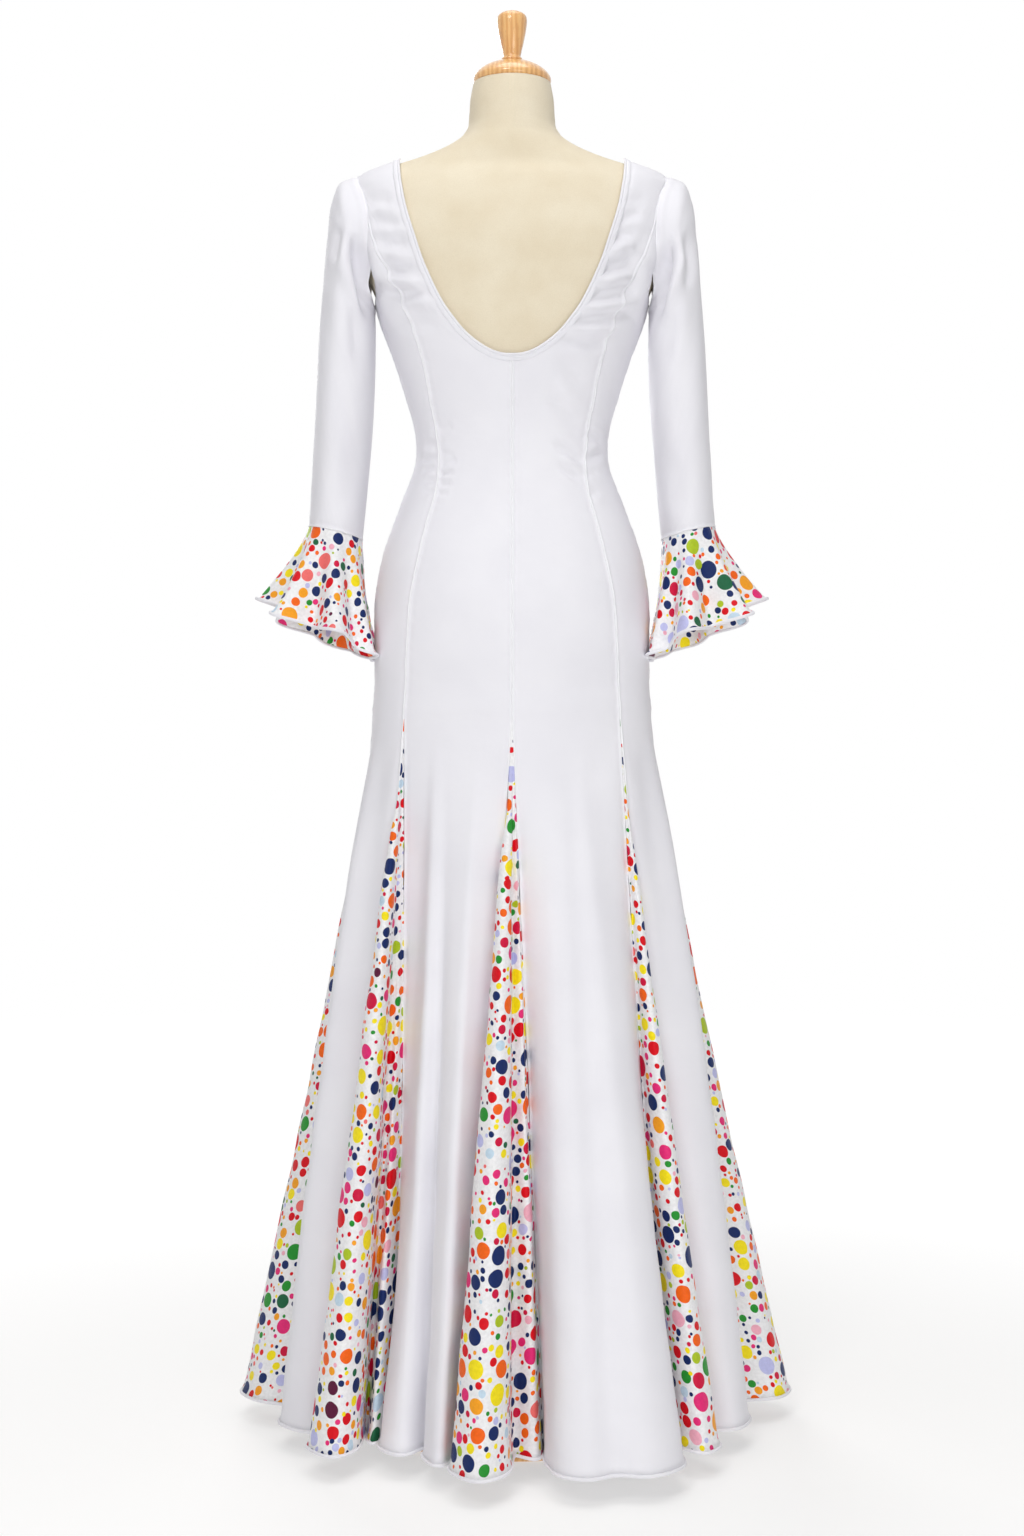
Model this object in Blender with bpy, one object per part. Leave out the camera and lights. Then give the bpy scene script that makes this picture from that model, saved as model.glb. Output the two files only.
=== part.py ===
"""A flamenco dress standing on a limbless dress form.

The dress is long and white, with princess seams, a deep scoop back and slim sleeves.
Seven dotted godets open in the skirt seams, and a dotted flounce ends each sleeve.
Metres, +Z up. The origin is on the floor, on the axis of the stand. The dress faces
-Y, its back faces +Y and the wearer's left is +X.

Every point of the body is named by an angle and a height. Angle 0 is the left side,
90 degrees is the middle of the back, and minus 90 degrees is the middle of the front.
"""

import math
from collections import namedtuple

import bmesh
import bpy
import numpy as np

# ---------------------------------------------------------------- driving sizes

WALL = 0.0012            # thickness of the dress cloth
SEAM_GAP = 0.0003        # clear space between two pieces at a seam
FORM_GAP = 0.0033        # clear space between the dress form and the cloth
EASE = FORM_GAP + WALL   # from the form to the outside of the cloth
HANG_EASE = 0.004        # more ease where the skirt starts to hang free

HEM_HEIGHT = 0.030       # skirt hem above the floor
APEX_HEIGHT = 0.842      # tops of the godets
HANG_HEIGHT = 0.885      # the skirt leaves the hips here
GODET_TOP = 0.03         # a godet starts this share of the way down from its apex
GODET_FULL = 0.25        # and has its whole fold depth this far down
FLARE_START = 0.12       # share of the skirt's fall over which a panel turns outwards

BAND_WIDTH = 0.008       # neck binding
BAND_WALL = 0.0010

ARMHOLE_TOP = 1.4855
ARMHOLE_BOTTOM = 1.3380
ARMHOLE_HALF_DEPTH = 0.056
PRINCESS_TOP_TURN = math.radians(76)   # where the princess seam meets the armhole

NECK_INNER_X = 0.136     # inner edge of the shoulder strap

FORM_TOP = 1.602
FORM_BOTTOM = 0.800
FORM_UNDERSIDE = 0.965   # its flat underside, as a share of the first full section
POLE_RADIUS = 0.0125
BASE_RADIUS = 0.165
BASE_THICKNESS = 0.018
HUB_RADIUS = 0.030
HUB_HEIGHT = 0.022
FLOUNCE_SWING = 1.25     # how slowly the folds of a flounce open below its seam

# ---------------------------------------------------------------- mesh counts

NECK_STEPS = 12          # places between two marks of a neckline
HEM_STEPS = 16           # places between two folds of the hem
PANEL_COLUMNS = 6
FOLDED_PANEL = "center_back_left"   # its columns lie on its own folds
SIDE_COLUMNS = 5
GODET_COLUMNS = 10
SKIRT_LEVELS = (1.0, 0.75, 0.5, 0.28, 0.12, GODET_TOP)   # shares of the drop, hem first
FORM_COLUMNS = 32
FLOUNCE_COLUMNS = 32

# Rows of the bodice: heights on the princess seam from the hips to the row that ends at
# the bottom of the neckline, heights above it, and shares of the way along the neckline.
Rows = namedtuple("Rows", "below_neck above_neck neck_shares")
BACK_ROWS = Rows(
    (0.842, 0.90, 0.96, 1.02, 1.08, 1.14, 1.19, 1.235, 1.285),
    (1.330, 1.380),
    (0.11, 0.22, 0.33, 0.45, 0.57, 0.69, 0.80, 0.90, 1.0),
)
FRONT_ROWS = Rows(
    (0.842, 0.92, 0.99, 1.05, 1.105, 1.16, 1.21, 1.25, 1.28, 1.305, 1.33, 1.36),
    (1.385, 1.41),
    (0.12, 0.24, 0.36, 0.49, 0.61, 0.72, 0.83, 0.92, 1.0),
)
STRAP_SHARES = (0.22, 0.43, 0.62, 0.78, 0.90, 1.0)   # of the armhole, up to the shoulder

# ---------------------------------------------------------------- tables of sections

# The dress form, as level sections: how far it reaches to the side, front and back,
# and how square the section is (2 is an ellipse).
Section = namedtuple("Section", "z half_width front back squareness")
BODY = (
    Section(0.780, 0.1540, 0.098, 0.106, 2.2),
    Section(0.860, 0.1590, 0.104, 0.116, 2.2),
    Section(0.930, 0.1598, 0.104, 0.120, 2.2),
    Section(0.985, 0.1590, 0.101, 0.115, 2.2),
    Section(1.035, 0.1500, 0.097, 0.102, 2.2),
    Section(1.095, 0.1290, 0.090, 0.084, 2.2),
    Section(1.150, 0.1102, 0.083, 0.073, 2.2),
    Section(1.190, 0.1122, 0.082, 0.073, 2.2),
    Section(1.220, 0.1207, 0.085, 0.079, 2.2),
    Section(1.250, 0.1298, 0.090, 0.085, 2.25),
    Section(1.280, 0.1400, 0.097, 0.090, 2.3),
    Section(1.310, 0.1515, 0.102, 0.094, 2.35),
    Section(1.338, 0.1605, 0.104, 0.096, 2.4),
    Section(1.370, 0.1740, 0.101, 0.097, 2.4),
    Section(1.405, 0.1860, 0.096, 0.096, 2.4),
    Section(1.435, 0.1905, 0.089, 0.091, 2.3),
    Section(1.462, 0.1905, 0.079, 0.083, 2.2),
    Section(1.480, 0.1865, 0.069, 0.074, 2.1),
    Section(1.488, 0.1790, 0.062, 0.067, 2.0),
    Section(1.4945, 0.1640, 0.058, 0.063, 2.0),
    Section(1.500, 0.1480, 0.056, 0.062, 2.0),
    Section(1.507, 0.1240, 0.055, 0.061, 2.0),
    Section(1.516, 0.0980, 0.054, 0.060, 2.0),
    Section(1.524, 0.0800, 0.053, 0.059, 2.0),
    Section(1.533, 0.0650, 0.051, 0.057, 2.0),
    Section(1.545, 0.0545, 0.050, 0.055, 2.0),
    Section(1.562, 0.0515, 0.049, 0.053, 2.0),
    Section(1.583, 0.0500, 0.048, 0.051, 2.0),
    Section(1.602, 0.0465, 0.0465, 0.0465, 2.0),
)

# The bust, as a soft rise on each side of the front.
BUST_X, BUST_Z, BUST_RISE = 0.082, 1.296, 0.018
BUST_REACH_X, BUST_REACH_Z = 0.052, 0.056

# Seams and edges of the bodice, as height and distance from the centre line.
Mark = namedtuple("Mark", "x z")
BACK_PRINCESS = (
    Mark(0.1234, 0.842), Mark(0.1230, 0.906), Mark(0.1195, 0.969),
    Mark(0.1086, 1.030), Mark(0.0985, 1.073), Mark(0.0892, 1.108),
    Mark(0.0864, 1.138), Mark(0.0882, 1.170), Mark(0.0950, 1.207),
    Mark(0.1022, 1.246), Mark(0.1158, 1.294), Mark(0.1298, 1.329),
    Mark(0.1420, 1.358), Mark(0.1549, 1.386),
)
FRONT_PRINCESS = (
    Mark(0.1150, 0.842), Mark(0.1130, 0.920), Mark(0.1050, 0.990),
    Mark(0.0930, 1.060), Mark(0.0800, 1.110), Mark(0.0745, 1.155),
    Mark(0.0765, 1.200), Mark(0.0810, 1.250), Mark(0.0870, 1.300),
    Mark(0.1040, 1.345), Mark(0.1360, 1.385),
)
BACK_NECKLINE = (
    Mark(0.0000, 1.2635), Mark(0.0100, 1.2639), Mark(0.0266, 1.2690),
    Mark(0.0520, 1.2867), Mark(0.0700, 1.3075), Mark(0.0830, 1.3265),
    Mark(0.1032, 1.3690), Mark(0.1120, 1.3940), Mark(0.1245, 1.4337),
    Mark(0.1310, 1.4650), Mark(0.1345, 1.4870), Mark(0.1355, 1.4990),
)
FRONT_NECKLINE = (
    Mark(0.0000, 1.4220), Mark(0.0280, 1.4250), Mark(0.0560, 1.4350),
    Mark(0.0830, 1.4530), Mark(0.1080, 1.4730), Mark(0.1275, 1.4900),
    Mark(0.1345, 1.4990),
)

# The hem seen from above, piece by piece from the middle of the back round the left
# side. Each piece starts on the seam that ended the one before it. late is how much
# later than a straight line the cloth moves out on its way down to that point.
Fold = namedtuple("Fold", "x y late")
HEM = (
    ("godet_center_back", (
        Fold(-0.026, 0.250, 0.0), Fold(-0.003, 0.236, 0.0), Fold(0.006, 0.300, 0.0),
        Fold(0.035, 0.328, 0.0), Fold(0.0655, 0.290, 0.0), Fold(0.055, 0.245, 0.0),
        Fold(0.046, 0.200, 0.0))),
    ("center_back_left", (
        Fold(0.063, 0.240, 0.0), Fold(0.0785, 0.275, 0.0), Fold(0.0965, 0.240, 0.0),
        Fold(0.0920, 0.203, 0.0), Fold(0.1210, 0.237, 0.2), Fold(0.1475, 0.205, 1.2),
        Fold(0.1310, 0.150, 1.2))),
    ("godet_back_left", (
        Fold(0.156, 0.195, 0.9), Fold(0.165, 0.148, 0.3), Fold(0.174, 0.218, 0.0),
        Fold(0.196, 0.243, 0.0), Fold(0.2255, 0.203, 0.0), Fold(0.180, 0.140, 0.0))),
    ("side_back_left", (
        Fold(0.207, 0.152, 0.0), Fold(0.238, 0.147, 0.0), Fold(0.267, 0.114, -0.25),
        Fold(0.258, 0.080, -0.25), Fold(0.215, 0.060, 0.0))),
    ("godet_side_left", (
        Fold(0.265, 0.042, 0.1), Fold(0.306, 0.020, 0.15), Fold(0.326, -0.018, 0.15),
        Fold(0.310, -0.052, 0.15), Fold(0.266, -0.060, 0.1), Fold(0.225, -0.085, 0.0))),
    ("side_front_left", (
        Fold(0.262, -0.105, -0.25), Fold(0.272, -0.140, -0.2), Fold(0.246, -0.170, 0.0),
        Fold(0.195, -0.152, 0.0))),
    ("godet_front_left", (
        Fold(0.224, -0.198, 0.0), Fold(0.208, -0.242, 0.0), Fold(0.183, -0.232, 0.0),
        Fold(0.167, -0.186, 0.0), Fold(0.152, -0.202, 0.0), Fold(0.130, -0.165, 0.0))),
    ("center_front", (
        Fold(0.144, -0.224, 0.0), Fold(0.122, -0.265, 0.0), Fold(0.085, -0.250, 0.0),
        Fold(0.046, -0.226, 0.0), Fold(0.018, -0.262, 0.0), Fold(-0.017, -0.274, 0.0),
        Fold(-0.054, -0.240, 0.0), Fold(-0.083, -0.243, 0.0), Fold(-0.116, -0.264, 0.0),
        Fold(-0.145, -0.228, 0.0), Fold(-0.130, -0.165, 0.0))),
    ("godet_front_right", (
        Fold(-0.152, -0.203, 0.0), Fold(-0.167, -0.186, 0.0), Fold(-0.185, -0.233, 0.0),
        Fold(-0.206, -0.240, 0.0), Fold(-0.226, -0.196, 0.0), Fold(-0.197, -0.150, 0.0))),
    ("side_front_right", (
        Fold(-0.242, -0.166, 0.0), Fold(-0.270, -0.136, -0.2), Fold(-0.263, -0.102, -0.25),
        Fold(-0.228, -0.084, 0.0))),
    ("godet_side_right", (
        Fold(-0.270, -0.066, 0.1), Fold(-0.316, -0.070, 0.15), Fold(-0.336, -0.034, 0.15),
        Fold(-0.320, 0.010, 0.15), Fold(-0.278, 0.024, 0.1), Fold(-0.235, 0.048, 0.0))),
    ("side_back_right", (
        Fold(-0.268, 0.070, -0.25), Fold(-0.2745, 0.101, -0.25), Fold(-0.254, 0.139, 0.0),
        Fold(-0.222, 0.141, 0.0), Fold(-0.188, 0.131, 0.0))),
    ("godet_back_right", (
        Fold(-0.219, 0.170, 0.1), Fold(-0.2300, 0.203, 0.1), Fold(-0.212, 0.229, 0.1),
        Fold(-0.193, 0.214, 0.1), Fold(-0.172, 0.170, 0.1))),
    ("center_back_right", (
        Fold(-0.181, 0.222, 0.1), Fold(-0.184, 0.274, 0.1), Fold(-0.1475, 0.310, 0.0),
        Fold(-0.110, 0.306, 0.0), Fold(-0.082, 0.321, 0.0), Fold(-0.053, 0.309, 0.0),
        Fold(-0.0385, 0.268, 0.0), Fold(-0.035, 0.215, 0.0))),
)

# The sleeve, as slanted oval sections from the armhole to the flounce: the points on
# its outer and inner lines, and half its depth from front to back.
Ring = namedtuple("Ring", "outer_x outer_z inner_x inner_z half_depth")
SLEEVE = (
    Ring(0.2040, 1.4835, 0.1645, 1.3295, 0.0600),
    Ring(0.2150, 1.4600, 0.1640, 1.3160, 0.0615),
    Ring(0.2210, 1.4150, 0.1638, 1.2960, 0.0610),
    Ring(0.2255, 1.3650, 0.1640, 1.2720, 0.0600),
    Ring(0.2295, 1.3100, 0.1647, 1.2420, 0.0585),
    Ring(0.2335, 1.2350, 0.1672, 1.1950, 0.0563),
    Ring(0.2402, 1.1280, 0.1745, 1.1040, 0.0520),
    Ring(0.2436, 1.0700, 0.1795, 1.0550, 0.0500),
)

# The flounce hem round the sleeve's axis: turn from the outer line towards the back,
# reach from the axis, and height.
Lobe = namedtuple("Lobe", "turn reach z")
FLOUNCE_X = 0.2150
FLOUNCE = (
    Lobe(0, 0.0900, 0.984), Lobe(26, 0.0640, 0.972), Lobe(50, 0.0970, 0.960),
    Lobe(74, 0.0640, 0.948), Lobe(97, 0.1030, 0.940), Lobe(117, 0.0620, 0.926),
    Lobe(135, 0.0740, 0.916), Lobe(160, 0.0470, 0.913), Lobe(180, 0.0468, 0.912),
    Lobe(203, 0.0480, 0.912), Lobe(227, 0.0750, 0.914), Lobe(248, 0.0600, 0.922),
    Lobe(270, 0.1000, 0.931), Lobe(294, 0.0640, 0.944), Lobe(317, 0.0950, 0.958),
    Lobe(340, 0.0660, 0.973),
)
FLOUNCE_LEVELS = (0.0, 0.2, 0.45, 0.72, 1.0)

# Turned profiles, as radius and height.
NECK_CAP = (
    (0.0410, 1.6023), (0.0455, 1.6028), (0.0467, 1.6050), (0.0467, 1.6085),
    (0.0445, 1.6125), (0.0390, 1.6180), (0.0300, 1.6235), (0.0200, 1.6270),
    (0.0120, 1.6285),
)
FINIAL = (
    (0.0105, 1.6288), (0.0125, 1.6300), (0.0125, 1.6325), (0.0107, 1.6345),
    (0.0112, 1.6400), (0.0135, 1.6500), (0.0158, 1.6610), (0.0176, 1.6720),
    (0.0181, 1.6785), (0.0170, 1.6835), (0.0130, 1.6870), (0.0070, 1.6886),
)


# ---------------------------------------------------------------- smooth reading

def smooth_read(knots, values, at):
    """A smooth curve through the values, read at the given places."""
    knots = np.asarray(knots, float)
    values = np.asarray(values, float)
    slopes = np.gradient(values, knots)
    at = np.clip(np.asarray(at, float), knots[0], knots[-1])
    index = np.clip(np.searchsorted(knots, at, side="right") - 1, 0, len(knots) - 2)
    step = knots[index + 1] - knots[index]
    t = (at - knots[index]) / step
    start = (2 * t**3 - 3 * t**2 + 1) * values[index]
    leave = (t**3 - 2 * t**2 + t) * step * slopes[index]
    end = (3 * t**2 - 2 * t**3) * values[index + 1]
    arrive = (t**3 - t**2) * step * slopes[index + 1]
    return start + leave + end + arrive


def column(table, name):
    return np.array([getattr(row, name) for row in table])


def lerp(a, b, share):
    return a + (b - a) * share


def smooth_step(share):
    share = np.clip(share, 0, 1)
    return share * share * (3 - 2 * share)


def unit(vectors):
    return vectors / np.maximum(np.linalg.norm(vectors, axis=-1, keepdims=True), 1e-12)


def curve_through(points, steps):
    """A round curve through points of any dimension, with steps places between two."""
    points = np.asarray(points, float)
    gaps = np.sqrt(np.linalg.norm(np.diff(points[:, :2], axis=0), axis=1))
    knots = np.concatenate([[0], np.cumsum(gaps)])
    at = np.concatenate([
        np.linspace(knots[i], knots[i + 1], steps, endpoint=False)
        for i in range(len(knots) - 1)
    ] + [knots[-1:]])
    return np.stack([smooth_read(knots, values, at) for values in points.T], axis=1)


# ---------------------------------------------------------------- the body

def section_at(z):
    z_knots = column(BODY, "z")
    return {name: smooth_read(z_knots, column(BODY, name), z)
            for name in ("half_width", "front", "back", "squareness")}


def body_at(angle, z):
    """Points on the dress form."""
    angle, z = np.broadcast_arrays(np.asarray(angle, float), np.asarray(z, float))
    part = section_at(z)
    power = 2 / part["squareness"]
    c, s = np.cos(angle), np.sin(angle)
    x = part["half_width"] * np.sign(c) * np.abs(c) ** power
    bust = BUST_RISE * np.exp(-((np.abs(x) - BUST_X) / BUST_REACH_X) ** 2
                              - ((z - BUST_Z) / BUST_REACH_Z) ** 2)
    depth = np.where(s > 0, part["back"], part["front"] + bust)
    y = depth * np.sign(s) * np.abs(s) ** power
    return np.stack([x, y, z], axis=-1)


def body_normal(angle, z):
    step = 1e-4
    round_it = body_at(angle + step, z) - body_at(angle - step, z)
    up = body_at(angle, z + step) - body_at(angle, z - step)
    return unit(np.cross(round_it, up))


def cloth_on_body(angle, z):
    """The outside of the cloth over the form, and its normals."""
    angle, z = np.broadcast_arrays(np.asarray(angle, float), np.asarray(z, float))
    normal = body_normal(angle, z)
    free = smooth_step((HANG_HEIGHT - z) / (HANG_HEIGHT - APEX_HEIGHT))
    return body_at(angle, z) + normal * (EASE + HANG_EASE * free)[..., None], normal


def angle_at(x, z):
    """The angle, on the back, of a place this far from the centre line."""
    part = section_at(z)
    share = np.clip(np.asarray(x) / (part["half_width"] + EASE), 0, 1)
    return np.arccos(share ** (part["squareness"] / 2))


def ridge_height(x):
    """Height of the shoulder at this distance from the centre line."""
    z = np.linspace(1.484, 1.545, 400)
    width = section_at(z)["half_width"]
    return float(np.interp(-x, -width, z))


# ---------------------------------------------------------------- bodice seams
# Each seam is a list of (angle, height) pairs for the left half of the dress. side is
# +1 on the back and -1 on the front.

def armhole(turn, side):
    middle = (ARMHOLE_TOP + ARMHOLE_BOTTOM) / 2
    half = (ARMHOLE_TOP - ARMHOLE_BOTTOM) / 2
    turn = np.asarray(turn, float)
    z = middle + half * np.cos(turn)
    y = ARMHOLE_HALF_DEPTH * np.sin(turn)
    part = section_at(z)
    depth = part["back"] if side > 0 else part["front"]
    share = np.clip(y / (depth + EASE), 0, 1)
    return np.stack([side * np.arcsin(share ** (part["squareness"] / 2)), z], axis=-1)


def princess(z, side):
    marks = BACK_PRINCESS if side > 0 else FRONT_PRINCESS
    top = armhole(PRINCESS_TOP_TURN, side)
    heights = np.append(column(marks, "z"), top[1])
    angles = angle_at(column(marks, "x"), column(marks, "z"))
    angles = np.append(angles, abs(top[0]))
    return np.stack([side * smooth_read(heights, angles, z), np.asarray(z)], axis=-1)


def neckline(share, side, outwards=0.0):
    """Places along the neckline from the centre to the shoulder, moved out over the cloth."""
    marks = BACK_NECKLINE if side > 0 else FRONT_NECKLINE
    top = [(NECK_INNER_X, ridge_height(NECK_INNER_X))]
    line = curve_through([(m.x, m.z) for m in marks] + top, NECK_STEPS)
    tangent = unit(np.gradient(line, axis=0))
    tangent[0] = (1, 0)
    line = line + outwards * np.stack([tangent[:, 1], -tangent[:, 0]], axis=1)
    line[-1] = (NECK_INNER_X + outwards, ridge_height(NECK_INNER_X + outwards))
    angle = side * angle_at(line[:, 0], line[:, 1])
    angle[0], angle[-1] = side * math.pi / 2, 0
    runs = np.linalg.norm(np.diff(body_at(angle, line[:, 1]), axis=0), axis=1)
    lengths = np.concatenate([[0], np.cumsum(runs)]) / runs.sum()
    return np.stack([np.interp(share, lengths, angle),
                     np.interp(share, lengths, line[:, 1])], axis=-1)


def rows_of(side):
    return BACK_ROWS if side > 0 else FRONT_ROWS


def princess_rows(side):
    """Where the rows of the panels meet the princess seam."""
    rows = rows_of(side)
    top_z = armhole(PRINCESS_TOP_TURN, side)[1]
    return princess(np.array(rows.below_neck + rows.above_neck + (top_z,)), side)


def center_rows(side):
    """Inner and outer ends of every row of a centre panel, and the neckline above it."""
    rows = rows_of(side)
    below = np.array(rows.below_neck)
    neck_bottom = neckline(0.0, side, BAND_WIDTH)[1]
    stretch = (neck_bottom - APEX_HEIGHT) / (below[-1] - APEX_HEIGHT)
    inner_z = APEX_HEIGHT + (below - APEX_HEIGHT) * stretch
    inner = np.stack([np.full_like(inner_z, side * math.pi / 2), inner_z], axis=-1)
    inner = np.concatenate([inner, neckline(rows.neck_shares, side, BAND_WIDTH)])
    strap = armhole(PRINCESS_TOP_TURN * (1 - np.array(STRAP_SHARES)), side)
    outer = np.concatenate([princess_rows(side), strap])
    edge = neckline((0.0,) + rows.neck_shares, side)
    return inner, outer, edge


def side_grid(side, columns):
    """Angles and heights of a side panel from the princess seam to the side seam."""
    inner = princess_rows(side)
    rows = len(inner)
    outer_z = lerp(APEX_HEIGHT, ARMHOLE_BOTTOM, np.linspace(0, 1, rows))
    outer = np.stack([np.zeros(rows), outer_z], axis=-1)
    across = np.linspace(0, 1, columns + 1)[None, :, None]
    up = np.linspace(0, 1, rows)[:, None, None]
    top = armhole(lerp(PRINCESS_TOP_TURN, math.pi, np.linspace(0, 1, columns + 1)), side)
    top[-1, 0] = 0
    straight_top = lerp(inner[-1], outer[-1], across[0])
    return lerp(inner[:, None], outer[:, None], across) + up**3 * (top - straight_top)[None]


def center_grid(side, share):
    """Angles and heights of a centre panel from the centre line to the princess seam."""
    inner, outer, edge = center_rows(side)
    return lerp(inner[:, None], outer[:, None], share[None, :, None]), edge


# ---------------------------------------------------------------- the skirt

def hem_curves():
    """For each piece, its hem as dense (x, y, late) places evenly read by length."""
    names = [name for name, _ in HEM]
    closing = HEM[-1][1][-1]
    points, ends = [tuple(closing)], [0]
    for _, folds in HEM:
        points += [tuple(fold) for fold in folds]
        ends.append(len(points) - 1)
    steps, lap = HEM_STEPS, 3
    around = points[-1 - lap:-1] + points + points[1:1 + lap]
    curve = curve_through(around, steps)[lap * steps:]
    curves = {}
    for i, name in enumerate(names):
        part = curve[ends[i] * steps:ends[i + 1] * steps + 1]
        runs = np.linalg.norm(np.diff(part[:, :2], axis=0), axis=1)
        share = np.concatenate([[0], np.cumsum(runs)]) / runs.sum()
        curves[name] = (share, part)
    return curves


def fold_shares(name):
    """Where the folds of a piece lie across it, from its first seam to its last."""
    runs, part = HEM_CURVES[name]
    folds = dict(HEM)[name]
    found = [int(np.argmin(np.hypot(part[:, 0] - f.x, part[:, 1] - f.y))) for f in folds]
    return runs[[0] + found]


def godet_shares(name):
    """The columns of a godet: its folds, with the widest spans between them halved."""
    share = fold_shares(name)
    while len(share) <= GODET_COLUMNS:
        widest = int(np.argmax(np.diff(share)))
        share = np.insert(share, widest + 1, share[widest:widest + 2].mean())
    return share


HEM_CURVES = hem_curves()
PIECES = [name for name, _ in HEM]


def hip_angles():
    """The angles between which each panel hangs, in the order of HEM."""
    back = float(princess(APEX_HEIGHT, 1)[0])
    front = -float(princess(APEX_HEIGHT, -1)[0])
    half, full = math.pi / 2, math.pi
    return {
        "center_back_left": (half, back),
        "side_back_left": (back, 0.0),
        "side_front_left": (0.0, -front),
        "center_front": (-front, front - full),
        "side_front_right": (front - full, -full),
        "side_back_right": (full, full - back),
        "center_back_right": (full - back, half),
    }


HIP_ANGLES = hip_angles()


def is_godet(name):
    return name.startswith("godet")


def hang_start(name, share):
    """Where the cloth of a panel leaves the hips, seen from above."""
    if is_godet(name):
        before = PIECES[PIECES.index(name) - 1]
        angle = np.full_like(share, HIP_ANGLES[before][1])
    else:
        angle = lerp(*HIP_ANGLES[name], share)
    return cloth_on_body(angle, APEX_HEIGHT)[0][..., :2]


def fall(name, share, level):
    """Places on a line from the hips to the hem, at this share of the drop."""
    share = np.asarray(share, float)
    runs, part = HEM_CURVES[name]
    hem = np.stack([np.interp(share, runs, part[:, 0]), np.interp(share, runs, part[:, 1])], -1)
    late = np.interp(share, runs, part[:, 2])
    turn = 1e-6 if is_godet(name) else FLARE_START * np.sin(math.pi * share) + 1e-6
    turned = np.where(level < turn, level**2 / (2 * turn), level - turn / 2) / (1 - turn / 2)
    start = hang_start(name, share)
    return start + (hem - start) * (turned ** (1 + late))[..., None]


def skirt_plan(name, share, level):
    """The skirt at one level seen from above. Near its apex a godet is still flat."""
    share = np.asarray(share, float)
    place = fall(name, share, level)
    if not is_godet(name):
        return place
    first, last = fall(name, np.array([0.0, 1.0]), level)
    chord = lerp(first, last, share[..., None])
    return chord + (place - chord) * smooth_step(level / GODET_FULL)


def plan_tangent(name, share, level):
    step = 1e-3
    low, high = np.clip(share - step, 0, 1), np.clip(share + step, 0, 1)
    return unit(skirt_plan(name, high, level) - skirt_plan(name, low, level))


def skirt_row(name, share, level):
    """One row of skirt points and their normals, which two pieces share at a seam."""
    tangent = plan_tangent(name, share, level)
    reach = np.ones(len(share))
    at = PIECES.index(name)
    neighbour_ends = ((0, at - 1, 1.0), (-1, (at + 1) % len(PIECES), 0.0))
    for end, beside, side in neighbour_ends:
        other = PIECES[beside]
        if share[end] not in (0.0, 1.0) or (level == 0 and is_godet(other)):
            continue
        across = plan_tangent(other, np.array([side]), level)[0]
        shared = unit(tangent[end] + across)
        reach[end] = 1 / max(0.5, float(tangent[end] @ shared))
        tangent[end] = shared
    if is_godet(name):
        # Near its apex a godet is narrow, so its wall follows its two seams.
        even = lerp(tangent[0], tangent[-1], share[:, None])
        opened = smooth_step(level / GODET_FULL)
        tangent = unit(lerp(even, tangent, opened))
        reach = lerp(1.0, reach, opened)
    plan = skirt_plan(name, share, level)
    z = np.full(len(share), lerp(APEX_HEIGHT, HEM_HEIGHT, level))
    points = np.concatenate([plan, z[:, None]], axis=1)
    # Going round from the back to the left side, the outside is on the left hand.
    normal = np.stack([-tangent[:, 1], tangent[:, 0], np.zeros(len(share))], axis=1)
    return points, normal * reach[:, None]


def skirt_rows(name, share, levels):
    rows = [skirt_row(name, share, level) for level in levels]
    return np.array([row[0] for row in rows]), np.array([row[1] for row in rows])


# ---------------------------------------------------------------- sheets of cloth
# A sheet is its outer points, their normals, four-cornered faces and the points on
# free edges, which no other piece meets.

Sheet = namedtuple("Sheet", "points normals quads free")


def grid_quads(rows, columns):
    return [(r * columns + c, r * columns + c + 1,
             (r + 1) * columns + c + 1, (r + 1) * columns + c)
            for r in range(rows - 1) for c in range(columns - 1)]


def joined(first, second):
    """Two sheets as one, with the points that they share made single."""
    points = list(map(tuple, first.points))
    normals = list(first.normals)
    known = {tuple(np.round(p, 7)): i for i, p in enumerate(points)}
    renamed = {}
    for i, (point, normal) in enumerate(zip(second.points, second.normals)):
        key = tuple(np.round(point, 7))
        if key not in known:
            known[key] = len(points)
            points.append(tuple(point))
            normals.append(normal)
        renamed[i] = known[key]
    quads = first.quads + [tuple(renamed[i] for i in quad) for quad in second.quads]
    free = set(first.free) | {renamed[i] for i in second.free}
    return Sheet(np.array(points), np.array(normals), quads, free)


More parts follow.
